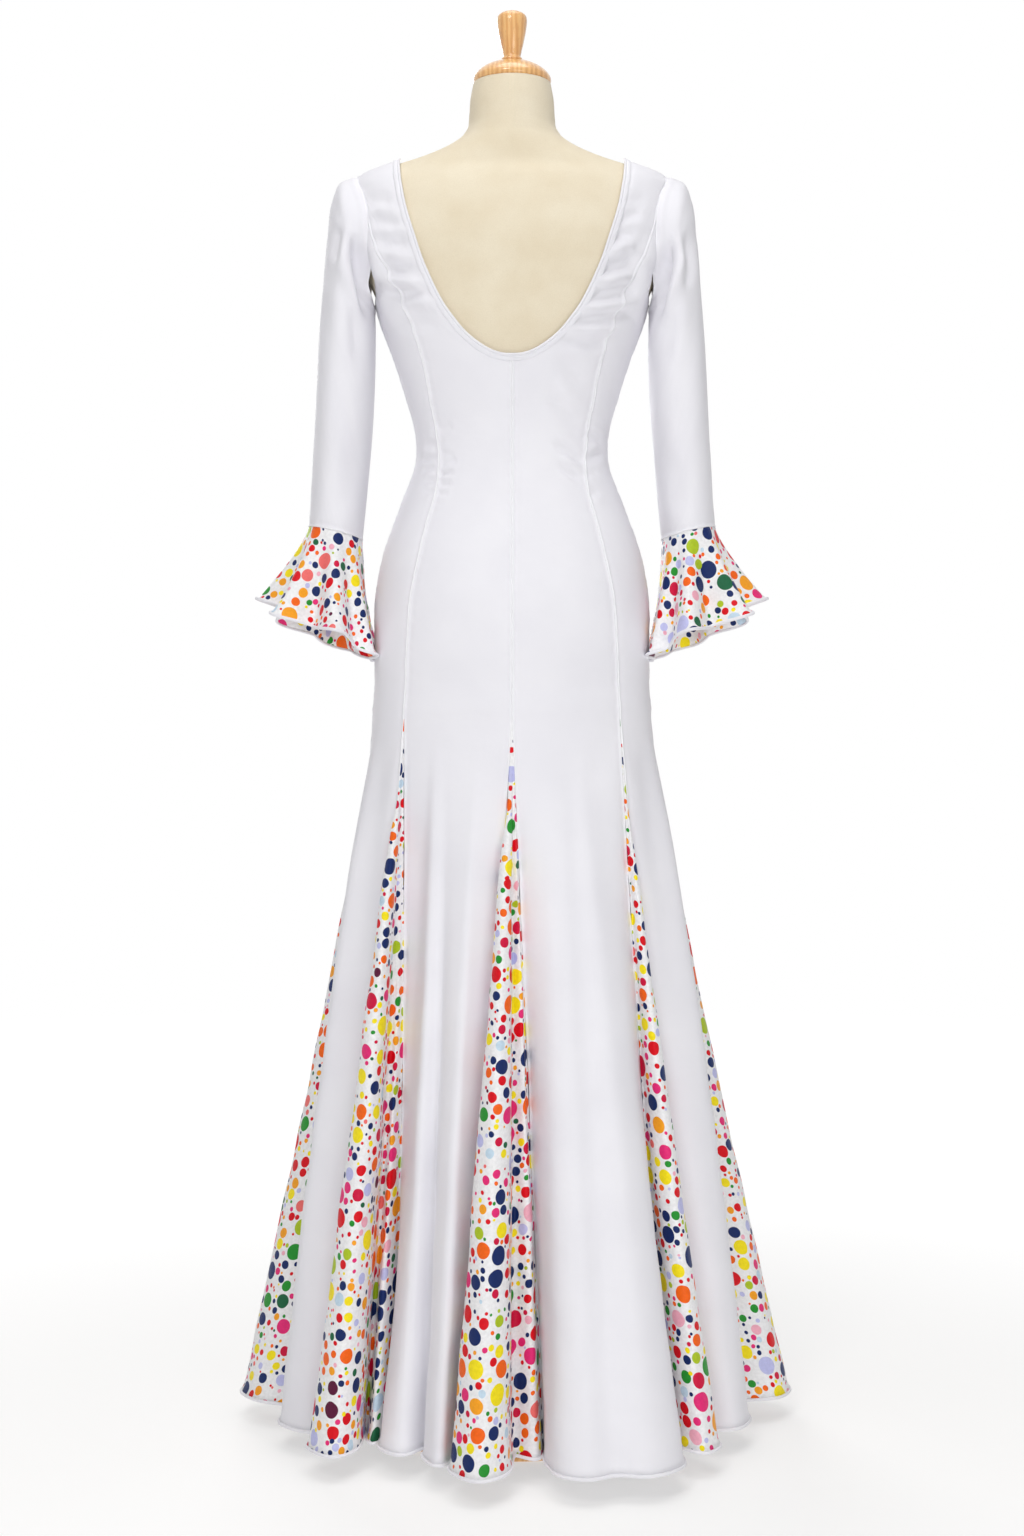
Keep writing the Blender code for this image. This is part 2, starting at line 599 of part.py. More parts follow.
def panel_sheet(name, bodice, share, edge=None, edge_column=0, right=False):
    """A panel as one sheet: its skirt, its bodice, and the strip along the neckline.

    The bodice and the edge are given as angles and heights on the left half. A panel
    of the right half has them mirrored, with its columns in the opposite order.
    """
    low, low_normals = skirt_rows(name, share, SKIRT_LEVELS)
    high, high_normals = cloth_on_body(bodice[..., 0], bodice[..., 1])
    rim, rim_normals = np.empty((0, 3)), np.empty((0, 3))
    if edge is not None:
        rim, rim_normals = cloth_on_body(edge[:, 0], edge[:, 1])
    if right:
        flip = np.array([-1, 1, 1])
        high, high_normals = high[:, ::-1] * flip, high_normals[:, ::-1] * flip
        rim, rim_normals = rim * flip, rim_normals * flip
        edge_column = len(share) - 1 - edge_column
    points = np.concatenate([low, high])
    rows, columns = points.shape[:2]
    points = np.concatenate([points.reshape(-1, 3), rim])
    normals = np.concatenate([low_normals, high_normals]).reshape(-1, 3)
    normals = np.concatenate([normals, rim_normals])
    quads = grid_quads(rows, columns)
    first = rows * columns
    below = rows - len(rim)
    for k in range(len(rim) - 1):
        base = (below + k) * columns + edge_column
        quads.append((first + k, base, base + columns, first + k + 1))
    free = set(range(columns)) | set(range(first, first + len(rim)))
    return Sheet(points, normals, quads, free)


def center_sheet(name):
    """A centre panel. The front one is cut on the fold, as two halves joined."""
    side = 1 if "back" in name else -1
    share = np.linspace(0, 1, PANEL_COLUMNS + 1)
    if name == FOLDED_PANEL:
        share = fold_shares(name)
    bodice, edge = center_grid(side, share)
    if side > 0:
        return panel_sheet(name, bodice, share, edge, 0, name.endswith("right"))
    # The front is met from the left side, so its columns run towards the centre.
    bodice = bodice[:, ::-1]
    left = panel_sheet(name, bodice, share / 2, edge, PANEL_COLUMNS)
    right = panel_sheet(name, bodice, 0.5 + share / 2, edge, PANEL_COLUMNS, right=True)
    return joined(left, right)


def side_sheet(name):
    side = 1 if "back" in name else -1
    bodice = side_grid(side, SIDE_COLUMNS)
    if side < 0:
        bodice = bodice[:, ::-1]
    share = np.linspace(0, 1, SIDE_COLUMNS + 1)
    return panel_sheet(name, bodice, share, right=name.endswith("right"))


def godet_sheet(name):
    points, normals = skirt_rows(name, godet_shares(name), SKIRT_LEVELS)
    rows, columns = points.shape[:2]
    return Sheet(points.reshape(-1, 3), normals.reshape(-1, 3),
                 grid_quads(rows, columns), set(range(columns)))


def binding_sheet(side, right):
    """Half of the neck binding on one side, lying on the strip along the neckline."""
    lower, _, edge = center_rows(side)
    lower = lower[-len(edge):]
    strip = np.stack([edge, lower], axis=1)
    points, normals = cloth_on_body(strip[..., 0], strip[..., 1])
    points = points + normals * (SEAM_GAP + BAND_WALL)
    if right:
        flip = np.array([-1, 1, 1])
        points, normals = points * flip, normals * flip
    rows, columns = points.shape[:2]
    return Sheet(points.reshape(-1, 3), normals.reshape(-1, 3),
                 grid_quads(rows, columns), set(range(rows * columns)))


# ---------------------------------------------------------------- sleeves and flounces

def around_quads(rows, columns):
    """Faces of a grid whose last column meets its first."""
    return [(r * columns + c, r * columns + (c + 1) % columns,
             (r + 1) * columns + (c + 1) % columns, (r + 1) * columns + c)
            for r in range(rows - 1) for c in range(columns)]


def tube_normals(points):
    round_it = np.roll(points, -1, axis=1) - np.roll(points, 1, axis=1)
    along = np.gradient(points, axis=0)
    return unit(np.cross(round_it, along))


def sleeve_turns():
    """Places round the armhole that the sleeve shares with the panels."""
    strap = PRINCESS_TOP_TURN * (1 - np.array(STRAP_SHARES))[::-1]
    under = lerp(PRINCESS_TOP_TURN, math.pi, np.linspace(0, 1, SIDE_COLUMNS + 1))
    back = np.concatenate([strap, under])
    return np.concatenate([back, 2 * math.pi - back[-2:0:-1]])


def sleeve_points():
    turns = sleeve_turns()
    on_back = turns <= math.pi
    marks = np.where(on_back[:, None], armhole(turns, 1), armhole(2 * math.pi - turns, -1))
    marks[np.isclose(np.sin(turns), 0), 0] = 0
    head, normal = cloth_on_body(marks[:, 0], marks[:, 1])
    rings = [head + normal * SEAM_GAP]
    for ring in SLEEVE:
        outer = np.array([ring.outer_x, 0, ring.outer_z])
        inner = np.array([ring.inner_x, 0, ring.inner_z])
        middle, reach = (outer + inner) / 2, (outer - inner) / 2
        depth = np.array([0, ring.half_depth, 0])
        rings.append(middle + np.cos(turns)[:, None] * reach + np.sin(turns)[:, None] * depth)
    return np.array(rings)


def flounce_points():
    last = SLEEVE[-1]
    turns = np.linspace(0, 2 * math.pi, FLOUNCE_COLUMNS, endpoint=False)
    outer = np.array([last.outer_x, 0, last.outer_z])
    inner = np.array([last.inner_x, 0, last.inner_z])
    depth = np.array([0, last.half_depth, 0])
    top = ((outer + inner) / 2 + np.cos(turns)[:, None] * (outer - inner) / 2
           + np.sin(turns)[:, None] * depth)
    lap = [Lobe(f.turn - 360, f.reach, f.z) for f in FLOUNCE[-3:]]
    table = lap + list(FLOUNCE) + [Lobe(f.turn + 360, f.reach, f.z) for f in FLOUNCE[:3]]
    degrees = np.degrees(turns)
    reach = smooth_read(column(table, "turn"), column(table, "reach"), degrees)
    z = smooth_read(column(table, "turn"), column(table, "z"), degrees)
    hem = np.stack([FLOUNCE_X + reach * np.cos(turns), reach * np.sin(turns), z], axis=1)
    rows = []
    for level in FLOUNCE_LEVELS:
        out = level ** FLOUNCE_SWING
        place = lerp(top, hem, level)
        place[:, :2] = lerp(top, hem, out)[:, :2]
        rows.append(place)
    return np.array(rows)


def tube_sheet(points, right, free_last_row):
    normals = tube_normals(points)
    middle = points.mean(axis=1, keepdims=True)
    normals *= np.sign(np.sum(normals * (points - middle)))
    if right:
        flip = np.array([-1, 1, 1])
        points, normals = points * flip, normals * flip
    rows, columns = points.shape[:2]
    free = set(range((rows - 1) * columns, rows * columns)) if free_last_row else set()
    return Sheet(points.reshape(-1, 3), normals.reshape(-1, 3),
                 around_quads(rows, columns), free)


# ---------------------------------------------------------------- solids

def boundary_edges(quads):
    """Directed edges that only one face has, each with its face."""
    seen = {}
    for quad in quads:
        for a, b in zip(quad, quad[1:] + quad[:1]):
            seen.setdefault(frozenset((a, b)), []).append((a, b, quad))
    return [uses[0] for uses in seen.values() if len(uses) == 1]


def trimmed(sheet):
    """The outer points, drawn back by half a seam gap along every seam. They move square
    to the normal that both pieces share, so they part even in the bottom of a fold."""
    shift = np.zeros_like(sheet.points)
    for a, b, quad in boundary_edges(sheet.quads):
        if a in sheet.free and b in sheet.free:
            continue
        along = unit(sheet.points[b] - sheet.points[a])
        inwards = sheet.points[list(quad)].mean(axis=0) - sheet.points[a]
        for corner in (a, b):
            normal = unit(sheet.normals[corner])
            away = inwards - along * (inwards @ along)
            away = unit(away - normal * (away @ normal))
            # Two edges in line count once, and two that make a corner both count.
            missing = SEAM_GAP / 2 - shift[corner] @ away
            shift[corner] += away * max(0.0, missing)
    return sheet.points + shift


def thick_mesh(name, sheet, wall):
    """A closed solid: the sheet, its points moved in by the wall, and the rim between."""
    outside = trimmed(sheet)
    inside = outside - sheet.normals * wall
    mesh = bmesh.new()
    outer = [mesh.verts.new(point) for point in outside]
    inner = [mesh.verts.new(point) for point in inside]
    for a, b, c, d in sheet.quads:
        for one, two, three in ((a, b, c), (a, c, d)):
            mesh.faces.new((outer[one], outer[two], outer[three]))
            mesh.faces.new((inner[three], inner[two], inner[one]))
    for a, b, _ in boundary_edges(sheet.quads):
        mesh.faces.new((outer[b], outer[a], inner[a]))
        mesh.faces.new((outer[b], inner[a], inner[b]))
    bmesh.ops.recalc_face_normals(mesh, faces=mesh.faces)
    if mesh.calc_volume(signed=True) < 0:
        bmesh.ops.reverse_faces(mesh, faces=mesh.faces)
    data = bpy.data.meshes.new(name)
    mesh.to_mesh(data)
    mesh.free()
    return data


def material(name, color, roughness, metallic=0.0):
    made = bpy.data.materials.new(name)
    made.use_nodes = True
    shader = made.node_tree.nodes["Principled BSDF"]
    shader.inputs["Base Color"].default_value = (*color, 1.0)
    shader.inputs["Roughness"].default_value = roughness
    shader.inputs["Metallic"].default_value = metallic
    return made


def place(name, data, finish, sharp_degrees=40):
    """An object from a mesh, in the scene, shaded smooth except at its sharp edges."""
    data.materials.append(finish)
    data.shade_smooth()
    data.set_sharp_from_angle(angle=math.radians(sharp_degrees))
    made = bpy.data.objects.new(name, data)
    bpy.context.scene.collection.objects.link(made)
    return made


def add_cloth(name, sheet, finish, wall=WALL):
    return place(name, thick_mesh(name, sheet, wall), finish)


def add_turned(name, profile, finish, steps=32):
    """A turned piece: its profile, closed on the axis, swept by a Screw modifier."""
    rows = [(0.0, profile[-1][1])] + list(profile[::-1]) + [(0.0, profile[0][1])]
    data = bpy.data.meshes.new(name)
    edges = [(i, i + 1) for i in range(len(rows) - 1)]
    data.from_pydata([(radius, 0, z) for radius, z in rows], edges, [])
    made = place(name, data, finish)
    screw = made.modifiers.new("Turn", "SCREW")
    screw.steps = screw.render_steps = steps
    screw.use_merge_vertices = True
    screw.merge_threshold = 0.00005
    return made


def add_form_torso(finish):
    """The padded torso, solid from its flat underside to the top of its neck."""
    heights = [FORM_BOTTOM, FORM_BOTTOM + 0.004]
    heights += [z for z in column(BODY, "z") if FORM_BOTTOM + 0.01 < z < FORM_TOP] + [FORM_TOP]
    angles = np.linspace(0, 2 * math.pi, FORM_COLUMNS, endpoint=False) + math.pi / FORM_COLUMNS
    mesh = bmesh.new()
    rings = []
    for z in heights:
        points = body_at(angles, z)
        if z == FORM_BOTTOM:
            points[:, :2] *= FORM_UNDERSIDE
        rings.append([mesh.verts.new(point) for point in points])
    for low, high in zip(rings, rings[1:]):
        for i in range(FORM_COLUMNS):
            j = (i + 1) % FORM_COLUMNS
            mesh.faces.new((low[i], low[j], high[j], high[i]))
    mesh.faces.new(rings[0][::-1])
    mesh.faces.new(rings[-1])
    data = bpy.data.meshes.new("form_torso")
    mesh.to_mesh(data)
    mesh.free()
    return place("form_torso", data, finish)


def clear_scene():
    for existing in list(bpy.data.objects):
        bpy.data.objects.remove(existing, do_unlink=True)


def main():
    clear_scene()
    white = material("white_satin", (0.86, 0.86, 0.88), 0.55)
    dotted = material("dotted_satin", (0.90, 0.86, 0.84), 0.50)
    linen = material("cream_linen", (0.80, 0.73, 0.62), 0.90)
    wood = material("beech", (0.62, 0.38, 0.18), 0.30)
    steel = material("steel", (0.55, 0.55, 0.56), 0.35, 1.0)

    for name in PIECES:
        if is_godet(name):
            add_cloth(name, godet_sheet(name), dotted)
        elif name.startswith("center"):
            add_cloth(name, center_sheet(name), white)
        else:
            add_cloth(name, side_sheet(name), white)

    for hand, right in (("left", False), ("right", True)):
        add_cloth("sleeve_" + hand, tube_sheet(sleeve_points(), right, False), white)
        add_cloth("flounce_" + hand, tube_sheet(flounce_points(), right, True), dotted)

    back = joined(binding_sheet(1, False), binding_sheet(1, True))
    front = joined(binding_sheet(-1, False), binding_sheet(-1, True))
    add_cloth("neck_binding", joined(back, front), white, BAND_WALL)

    add_form_torso(linen)
    add_turned("form_neck_cap", NECK_CAP, wood)
    add_turned("form_finial", FINIAL, wood, 24)
    pole = ((POLE_RADIUS, BASE_THICKNESS + HUB_HEIGHT + SEAM_GAP),
            (POLE_RADIUS, FORM_BOTTOM - SEAM_GAP))
    add_turned("stand_pole", pole, steel, 20)
    base = ((BASE_RADIUS - 0.002, 0.0), (BASE_RADIUS, 0.002), (BASE_RADIUS, 0.013),
            (BASE_RADIUS - 0.005, BASE_THICKNESS), (HUB_RADIUS + 0.004, BASE_THICKNESS),
            (HUB_RADIUS, BASE_THICKNESS + 0.004),
            (HUB_RADIUS - 0.004, BASE_THICKNESS + HUB_HEIGHT))
    add_turned("stand_base", base, wood, 40)


main()
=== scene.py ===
"""The looks of a flamenco dress on a limbless dress form.

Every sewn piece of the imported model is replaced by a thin, finely meshed shell on the
same form, with its seams, creases, rolled hems and printed or plain satin.
Metres, +Z up. The dress faces -Y, its back faces +Y and the wearer's left is +X.

A point of the body is named by an angle and a height. Angle 0 is the left side, 90
degrees is the middle of the back, and minus 90 degrees is the middle of the front.
"""

import math
from collections import namedtuple

import bpy
import numpy as np
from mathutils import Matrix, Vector


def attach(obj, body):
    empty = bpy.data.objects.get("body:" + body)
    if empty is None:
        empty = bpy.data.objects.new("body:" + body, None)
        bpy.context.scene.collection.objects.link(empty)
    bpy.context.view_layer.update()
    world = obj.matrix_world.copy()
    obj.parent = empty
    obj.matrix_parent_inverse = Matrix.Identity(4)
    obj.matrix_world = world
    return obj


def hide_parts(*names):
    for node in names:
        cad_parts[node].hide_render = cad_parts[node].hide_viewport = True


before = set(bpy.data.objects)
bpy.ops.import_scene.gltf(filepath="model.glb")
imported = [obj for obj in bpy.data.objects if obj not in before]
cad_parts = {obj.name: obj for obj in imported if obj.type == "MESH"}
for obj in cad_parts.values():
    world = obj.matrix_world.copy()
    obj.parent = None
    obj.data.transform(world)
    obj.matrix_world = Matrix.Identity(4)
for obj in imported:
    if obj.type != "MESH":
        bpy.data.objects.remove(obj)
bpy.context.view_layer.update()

# ---------------------------------------------------------------- driving sizes

FORM_GAP = 0.0033        # clear space between the dress form and the cloth
WALL = 0.0012            # the model's cloth
EASE = FORM_GAP + WALL   # from the form to the outside of the cloth
HANG_EASE = 0.004        # more ease where the skirt starts to hang free
CLOTH = 0.0007           # thickness of the satin
SEAM_GAP = 0.00006       # between two turned or sewn pieces that meet

HEM_HEIGHT = 0.030
APEX_HEIGHT = 0.842      # tops of the godets
HANG_HEIGHT = 0.885      # the skirt leaves the hips here
GODET_FULL = 0.25        # share of the drop where a godet has its whole fold depth
FLARE_START = 0.12       # share of the drop over which a panel turns outwards

BAND_WIDTH = 0.008       # neck binding
NECK_TURN = 0.0015       # the panels end this far under the binding's edge
ARMHOLE_TOP = 1.4855
ARMHOLE_BOTTOM = 1.3380
ARMHOLE_HALF_DEPTH = 0.056
PRINCESS_TOP_TURN = math.radians(76)   # where the princess seam meets the armhole
NECK_INNER_X = 0.136     # inner edge of the shoulder strap
FLOUNCE_SWING = 1.25     # how slowly the folds of a flounce open below its seam

FORM_TOP = 1.602
FORM_BOTTOM = 0.800
FORM_UNDERSIDE = 0.965
FORM_NECK_SEAM = 1.540
POLE_RADIUS = 0.0125
BASE_RADIUS = 0.165
BASE_THICKNESS = 0.018
HUB_RADIUS = 0.030
HUB_HEIGHT = 0.022

# ---------------------------------------------------------------- mesh counts

NECK_STEPS = 12
HEM_STEPS = 16
ROW_SPLIT = 10           # rows of the shell to one row of the tables
BACK_ROW_GAP = 0.0029    # between the rows of the back below the neckline
FRONT_ROW_GAP = 0.0048
SKIRT_ROWS = 90
CENTER_COLUMNS = 56
SIDE_COLUMNS = 40
GODET_COLUMNS = 72
EDGE_CROWDING = 0.8      # how much closer together the columns are at the seams
SLEEVE_COLUMNS = 112
SLEEVE_ROWS = 130
FLOUNCE_COLUMNS = 208
FLOUNCE_ROWS = 36

# Rows of the bodice: heights on the princess seam from the hips to the row that ends at
# the bottom of the neckline, heights above it, and shares of the way along the neckline.
Rows = namedtuple("Rows", "below_neck above_neck neck_shares")
BACK_ROWS = Rows(
    (0.842, 0.90, 0.96, 1.02, 1.08, 1.14, 1.19, 1.235, 1.285),
    (1.330, 1.380),
    (0.11, 0.22, 0.33, 0.45, 0.57, 0.69, 0.80, 0.90, 1.0),
)
FRONT_ROWS = Rows(
    (0.842, 0.92, 0.99, 1.05, 1.105, 1.16, 1.21, 1.25, 1.28, 1.305, 1.33, 1.36),
    (1.385, 1.41),
    (0.12, 0.24, 0.36, 0.49, 0.61, 0.72, 0.83, 0.92, 1.0),
)
STRAP_SHARES = (0.22, 0.43, 0.62, 0.78, 0.90, 1.0)   # of the armhole, up to the shoulder

# ---------------------------------------------------------------- tables of sections

# The dress form, as level sections: how far it reaches to the side, front and back,
# and how square the section is (2 is an ellipse).
Section = namedtuple("Section", "z half_width front back squareness")
BODY = (
    Section(0.780, 0.1540, 0.098, 0.106, 2.2),
    Section(0.860, 0.1590, 0.104, 0.116, 2.2),
    Section(0.930, 0.1598, 0.104, 0.120, 2.2),
    Section(0.985, 0.1590, 0.101, 0.115, 2.2),
    Section(1.035, 0.1500, 0.097, 0.102, 2.2),
    Section(1.095, 0.1290, 0.090, 0.084, 2.2),
    Section(1.150, 0.1102, 0.083, 0.073, 2.2),
    Section(1.190, 0.1122, 0.082, 0.073, 2.2),
    Section(1.220, 0.1207, 0.085, 0.079, 2.2),
    Section(1.250, 0.1298, 0.090, 0.085, 2.25),
    Section(1.280, 0.1400, 0.097, 0.090, 2.3),
    Section(1.310, 0.1515, 0.102, 0.094, 2.35),
    Section(1.338, 0.1605, 0.104, 0.096, 2.4),
    Section(1.370, 0.1740, 0.101, 0.097, 2.4),
    Section(1.405, 0.1860, 0.096, 0.096, 2.4),
    Section(1.435, 0.1905, 0.089, 0.091, 2.3),
    Section(1.462, 0.1905, 0.079, 0.083, 2.2),
    Section(1.480, 0.1865, 0.069, 0.074, 2.1),
    Section(1.488, 0.1790, 0.062, 0.067, 2.0),
    Section(1.4945, 0.1640, 0.058, 0.063, 2.0),
    Section(1.500, 0.1480, 0.056, 0.062, 2.0),
    Section(1.507, 0.1240, 0.055, 0.061, 2.0),
    Section(1.516, 0.0980, 0.054, 0.060, 2.0),
    Section(1.524, 0.0800, 0.053, 0.059, 2.0),
    Section(1.533, 0.0650, 0.051, 0.057, 2.0),
    Section(1.545, 0.0545, 0.050, 0.055, 2.0),
    Section(1.562, 0.0515, 0.049, 0.053, 2.0),
    Section(1.583, 0.0500, 0.048, 0.051, 2.0),
    Section(1.602, 0.0465, 0.0465, 0.0465, 2.0),
)

# The bust, as a soft rise on each side of the front.
BUST_X, BUST_Z, BUST_RISE = 0.082, 1.296, 0.018
BUST_REACH_X, BUST_REACH_Z = 0.052, 0.056

# Seams and edges of the bodice, as height and distance from the centre line.
Mark = namedtuple("Mark", "x z")
BACK_PRINCESS = (
    Mark(0.1234, 0.842), Mark(0.1230, 0.906), Mark(0.1195, 0.969),
    Mark(0.1086, 1.030), Mark(0.0985, 1.073), Mark(0.0892, 1.108),
    Mark(0.0864, 1.138), Mark(0.0882, 1.170), Mark(0.0950, 1.207),
    Mark(0.1022, 1.246), Mark(0.1158, 1.294), Mark(0.1298, 1.329),
    Mark(0.1420, 1.358), Mark(0.1549, 1.386),
)
FRONT_PRINCESS = (
    Mark(0.1150, 0.842), Mark(0.1130, 0.920), Mark(0.1050, 0.990),
    Mark(0.0930, 1.060), Mark(0.0800, 1.110), Mark(0.0745, 1.155),
    Mark(0.0765, 1.200), Mark(0.0810, 1.250), Mark(0.0870, 1.300),
    Mark(0.1040, 1.345), Mark(0.1360, 1.385),
)
BACK_NECKLINE = (
    Mark(0.0000, 1.2635), Mark(0.0100, 1.2639), Mark(0.0266, 1.2690),
    Mark(0.0520, 1.2867), Mark(0.0700, 1.3075), Mark(0.0830, 1.3265),
    Mark(0.1032, 1.3690), Mark(0.1120, 1.3940), Mark(0.1245, 1.4337),
    Mark(0.1310, 1.4650), Mark(0.1345, 1.4870), Mark(0.1355, 1.4990),
)
FRONT_NECKLINE = (
    Mark(0.0000, 1.4220), Mark(0.0280, 1.4250), Mark(0.0560, 1.4350),
    Mark(0.0830, 1.4530), Mark(0.1080, 1.4730), Mark(0.1275, 1.4900),
    Mark(0.1345, 1.4990),
)

# The hem seen from above, piece by piece from the middle of the back round the left
# side. Each piece starts on the seam that ended the one before it. late is how much
# later than a straight line the cloth moves out on its way down to that point.
Fold = namedtuple("Fold", "x y late")
HEM = (
    ("godet_center_back", (
        Fold(-0.026, 0.250, 0.0), Fold(-0.003, 0.236, 0.0), Fold(0.006, 0.300, 0.0),
        Fold(0.035, 0.328, 0.0), Fold(0.0655, 0.290, 0.0), Fold(0.055, 0.245, 0.0),
        Fold(0.046, 0.200, 0.0))),
    ("center_back_left", (
        Fold(0.063, 0.240, 0.0), Fold(0.0785, 0.275, 0.0), Fold(0.0965, 0.240, 0.0),
        Fold(0.0920, 0.203, 0.0), Fold(0.1210, 0.237, 0.2), Fold(0.1475, 0.205, 1.2),
        Fold(0.1310, 0.150, 1.2))),
    ("godet_back_left", (
        Fold(0.156, 0.195, 0.9), Fold(0.165, 0.148, 0.3), Fold(0.174, 0.218, 0.0),
        Fold(0.196, 0.243, 0.0), Fold(0.2255, 0.203, 0.0), Fold(0.180, 0.140, 0.0))),
    ("side_back_left", (
        Fold(0.207, 0.152, 0.0), Fold(0.238, 0.147, 0.0), Fold(0.267, 0.114, -0.25),
        Fold(0.258, 0.080, -0.25), Fold(0.215, 0.060, 0.0))),
    ("godet_side_left", (
        Fold(0.265, 0.042, 0.1), Fold(0.306, 0.020, 0.15), Fold(0.326, -0.018, 0.15),
        Fold(0.310, -0.052, 0.15), Fold(0.266, -0.060, 0.1), Fold(0.225, -0.085, 0.0))),
    ("side_front_left", (
        Fold(0.262, -0.105, -0.25), Fold(0.272, -0.140, -0.2), Fold(0.246, -0.170, 0.0),
        Fold(0.195, -0.152, 0.0))),
    ("godet_front_left", (
        Fold(0.224, -0.198, 0.0), Fold(0.208, -0.242, 0.0), Fold(0.183, -0.232, 0.0),
        Fold(0.167, -0.186, 0.0), Fold(0.152, -0.202, 0.0), Fold(0.130, -0.165, 0.0))),
    ("center_front", (
        Fold(0.144, -0.224, 0.0), Fold(0.122, -0.265, 0.0), Fold(0.085, -0.250, 0.0),
        Fold(0.046, -0.226, 0.0), Fold(0.018, -0.262, 0.0), Fold(-0.017, -0.274, 0.0),
        Fold(-0.054, -0.240, 0.0), Fold(-0.083, -0.243, 0.0), Fold(-0.116, -0.264, 0.0),
        Fold(-0.145, -0.228, 0.0), Fold(-0.130, -0.165, 0.0))),
    ("godet_front_right", (
        Fold(-0.152, -0.203, 0.0), Fold(-0.167, -0.186, 0.0), Fold(-0.185, -0.233, 0.0),
        Fold(-0.206, -0.240, 0.0), Fold(-0.226, -0.196, 0.0), Fold(-0.197, -0.150, 0.0))),
    ("side_front_right", (
        Fold(-0.242, -0.166, 0.0), Fold(-0.270, -0.136, -0.2), Fold(-0.263, -0.102, -0.25),
        Fold(-0.228, -0.084, 0.0))),
    ("godet_side_right", (
        Fold(-0.270, -0.066, 0.1), Fold(-0.316, -0.070, 0.15), Fold(-0.336, -0.034, 0.15),
        Fold(-0.320, 0.010, 0.15), Fold(-0.278, 0.024, 0.1), Fold(-0.235, 0.048, 0.0))),
    ("side_back_right", (
        Fold(-0.268, 0.070, -0.25), Fold(-0.2745, 0.101, -0.25), Fold(-0.254, 0.139, 0.0),
        Fold(-0.222, 0.141, 0.0), Fold(-0.188, 0.131, 0.0))),
    ("godet_back_right", (
        Fold(-0.219, 0.170, 0.1), Fold(-0.2300, 0.203, 0.1), Fold(-0.212, 0.229, 0.1),
        Fold(-0.193, 0.214, 0.1), Fold(-0.172, 0.170, 0.1))),
    ("center_back_right", (
        Fold(-0.181, 0.222, 0.1), Fold(-0.184, 0.274, 0.1), Fold(-0.1475, 0.310, 0.0),
        Fold(-0.110, 0.306, 0.0), Fold(-0.082, 0.321, 0.0), Fold(-0.053, 0.309, 0.0),
        Fold(-0.0385, 0.268, 0.0), Fold(-0.035, 0.215, 0.0))),
)

# The sleeve, as slanted oval sections from the armhole to the flounce: the points on
# its outer and inner lines, and half its depth from front to back.
Ring = namedtuple("Ring", "outer_x outer_z inner_x inner_z half_depth")
SLEEVE = (
    Ring(0.2040, 1.4835, 0.1645, 1.3295, 0.0600),
    Ring(0.2150, 1.4600, 0.1640, 1.3160, 0.0615),
    Ring(0.2210, 1.4150, 0.1638, 1.2960, 0.0610),
    Ring(0.2255, 1.3650, 0.1640, 1.2720, 0.0600),
    Ring(0.2295, 1.3100, 0.1647, 1.2420, 0.0585),
    Ring(0.2335, 1.2350, 0.1672, 1.1950, 0.0563),
    Ring(0.2402, 1.1280, 0.1745, 1.1040, 0.0520),
    Ring(0.2436, 1.0700, 0.1795, 1.0550, 0.0500),
)

# The flounce hem round the sleeve's axis: turn from the outer line towards the back,
# reach from the axis, and height.
Lobe = namedtuple("Lobe", "turn reach z")
FLOUNCE_X = 0.2150
FLOUNCE = (
    Lobe(0, 0.0900, 0.984), Lobe(26, 0.0640, 0.972), Lobe(50, 0.0970, 0.960),
    Lobe(74, 0.0640, 0.948), Lobe(97, 0.1030, 0.940), Lobe(117, 0.0620, 0.926),
    Lobe(135, 0.0740, 0.916), Lobe(160, 0.0470, 0.913), Lobe(180, 0.0468, 0.912),
    Lobe(203, 0.0480, 0.912), Lobe(227, 0.0750, 0.914), Lobe(248, 0.0600, 0.922),
    Lobe(270, 0.1000, 0.931), Lobe(294, 0.0640, 0.944), Lobe(317, 0.0950, 0.958),
    Lobe(340, 0.0660, 0.973),
)

# Turned profiles, as radius and height.
NECK_CAP = (
    (0.0410, 1.6023), (0.0455, 1.6028), (0.0467, 1.6050), (0.0467, 1.6085),
    (0.0445, 1.6125), (0.0390, 1.6180), (0.0300, 1.6235), (0.0200, 1.6270),
    (0.0120, 1.6285),
)
FINIAL = (
    (0.0105, 1.6288), (0.0125, 1.6300), (0.0125, 1.6325), (0.0107, 1.6345),
    (0.0112, 1.6400), (0.0135, 1.6500), (0.0158, 1.6610), (0.0176, 1.6720),
    (0.0181, 1.6785), (0.0170, 1.6835), (0.0130, 1.6870), (0.0070, 1.6886),
)


# ---------------------------------------------------------------- smooth reading

def smooth_read(knots, values, at):
    """A smooth curve through the values, read at the given places."""
    knots = np.asarray(knots, float)
    values = np.asarray(values, float)
    slopes = np.gradient(values, knots)
    at = np.clip(np.asarray(at, float), knots[0], knots[-1])
    index = np.clip(np.searchsorted(knots, at, side="right") - 1, 0, len(knots) - 2)
    step = knots[index + 1] - knots[index]
    t = (at - knots[index]) / step
    start = (2 * t**3 - 3 * t**2 + 1) * values[index]
    leave = (t**3 - 2 * t**2 + t) * step * slopes[index]
    end = (3 * t**2 - 2 * t**3) * values[index + 1]
    arrive = (t**3 - t**2) * step * slopes[index + 1]
    return start + leave + end + arrive


def column(table, name):
    return np.array([getattr(row, name) for row in table])


def lerp(a, b, share):
    return a + (b - a) * share


def smooth_step(share):
    share = np.clip(share, 0, 1)
    return share * share * (3 - 2 * share)


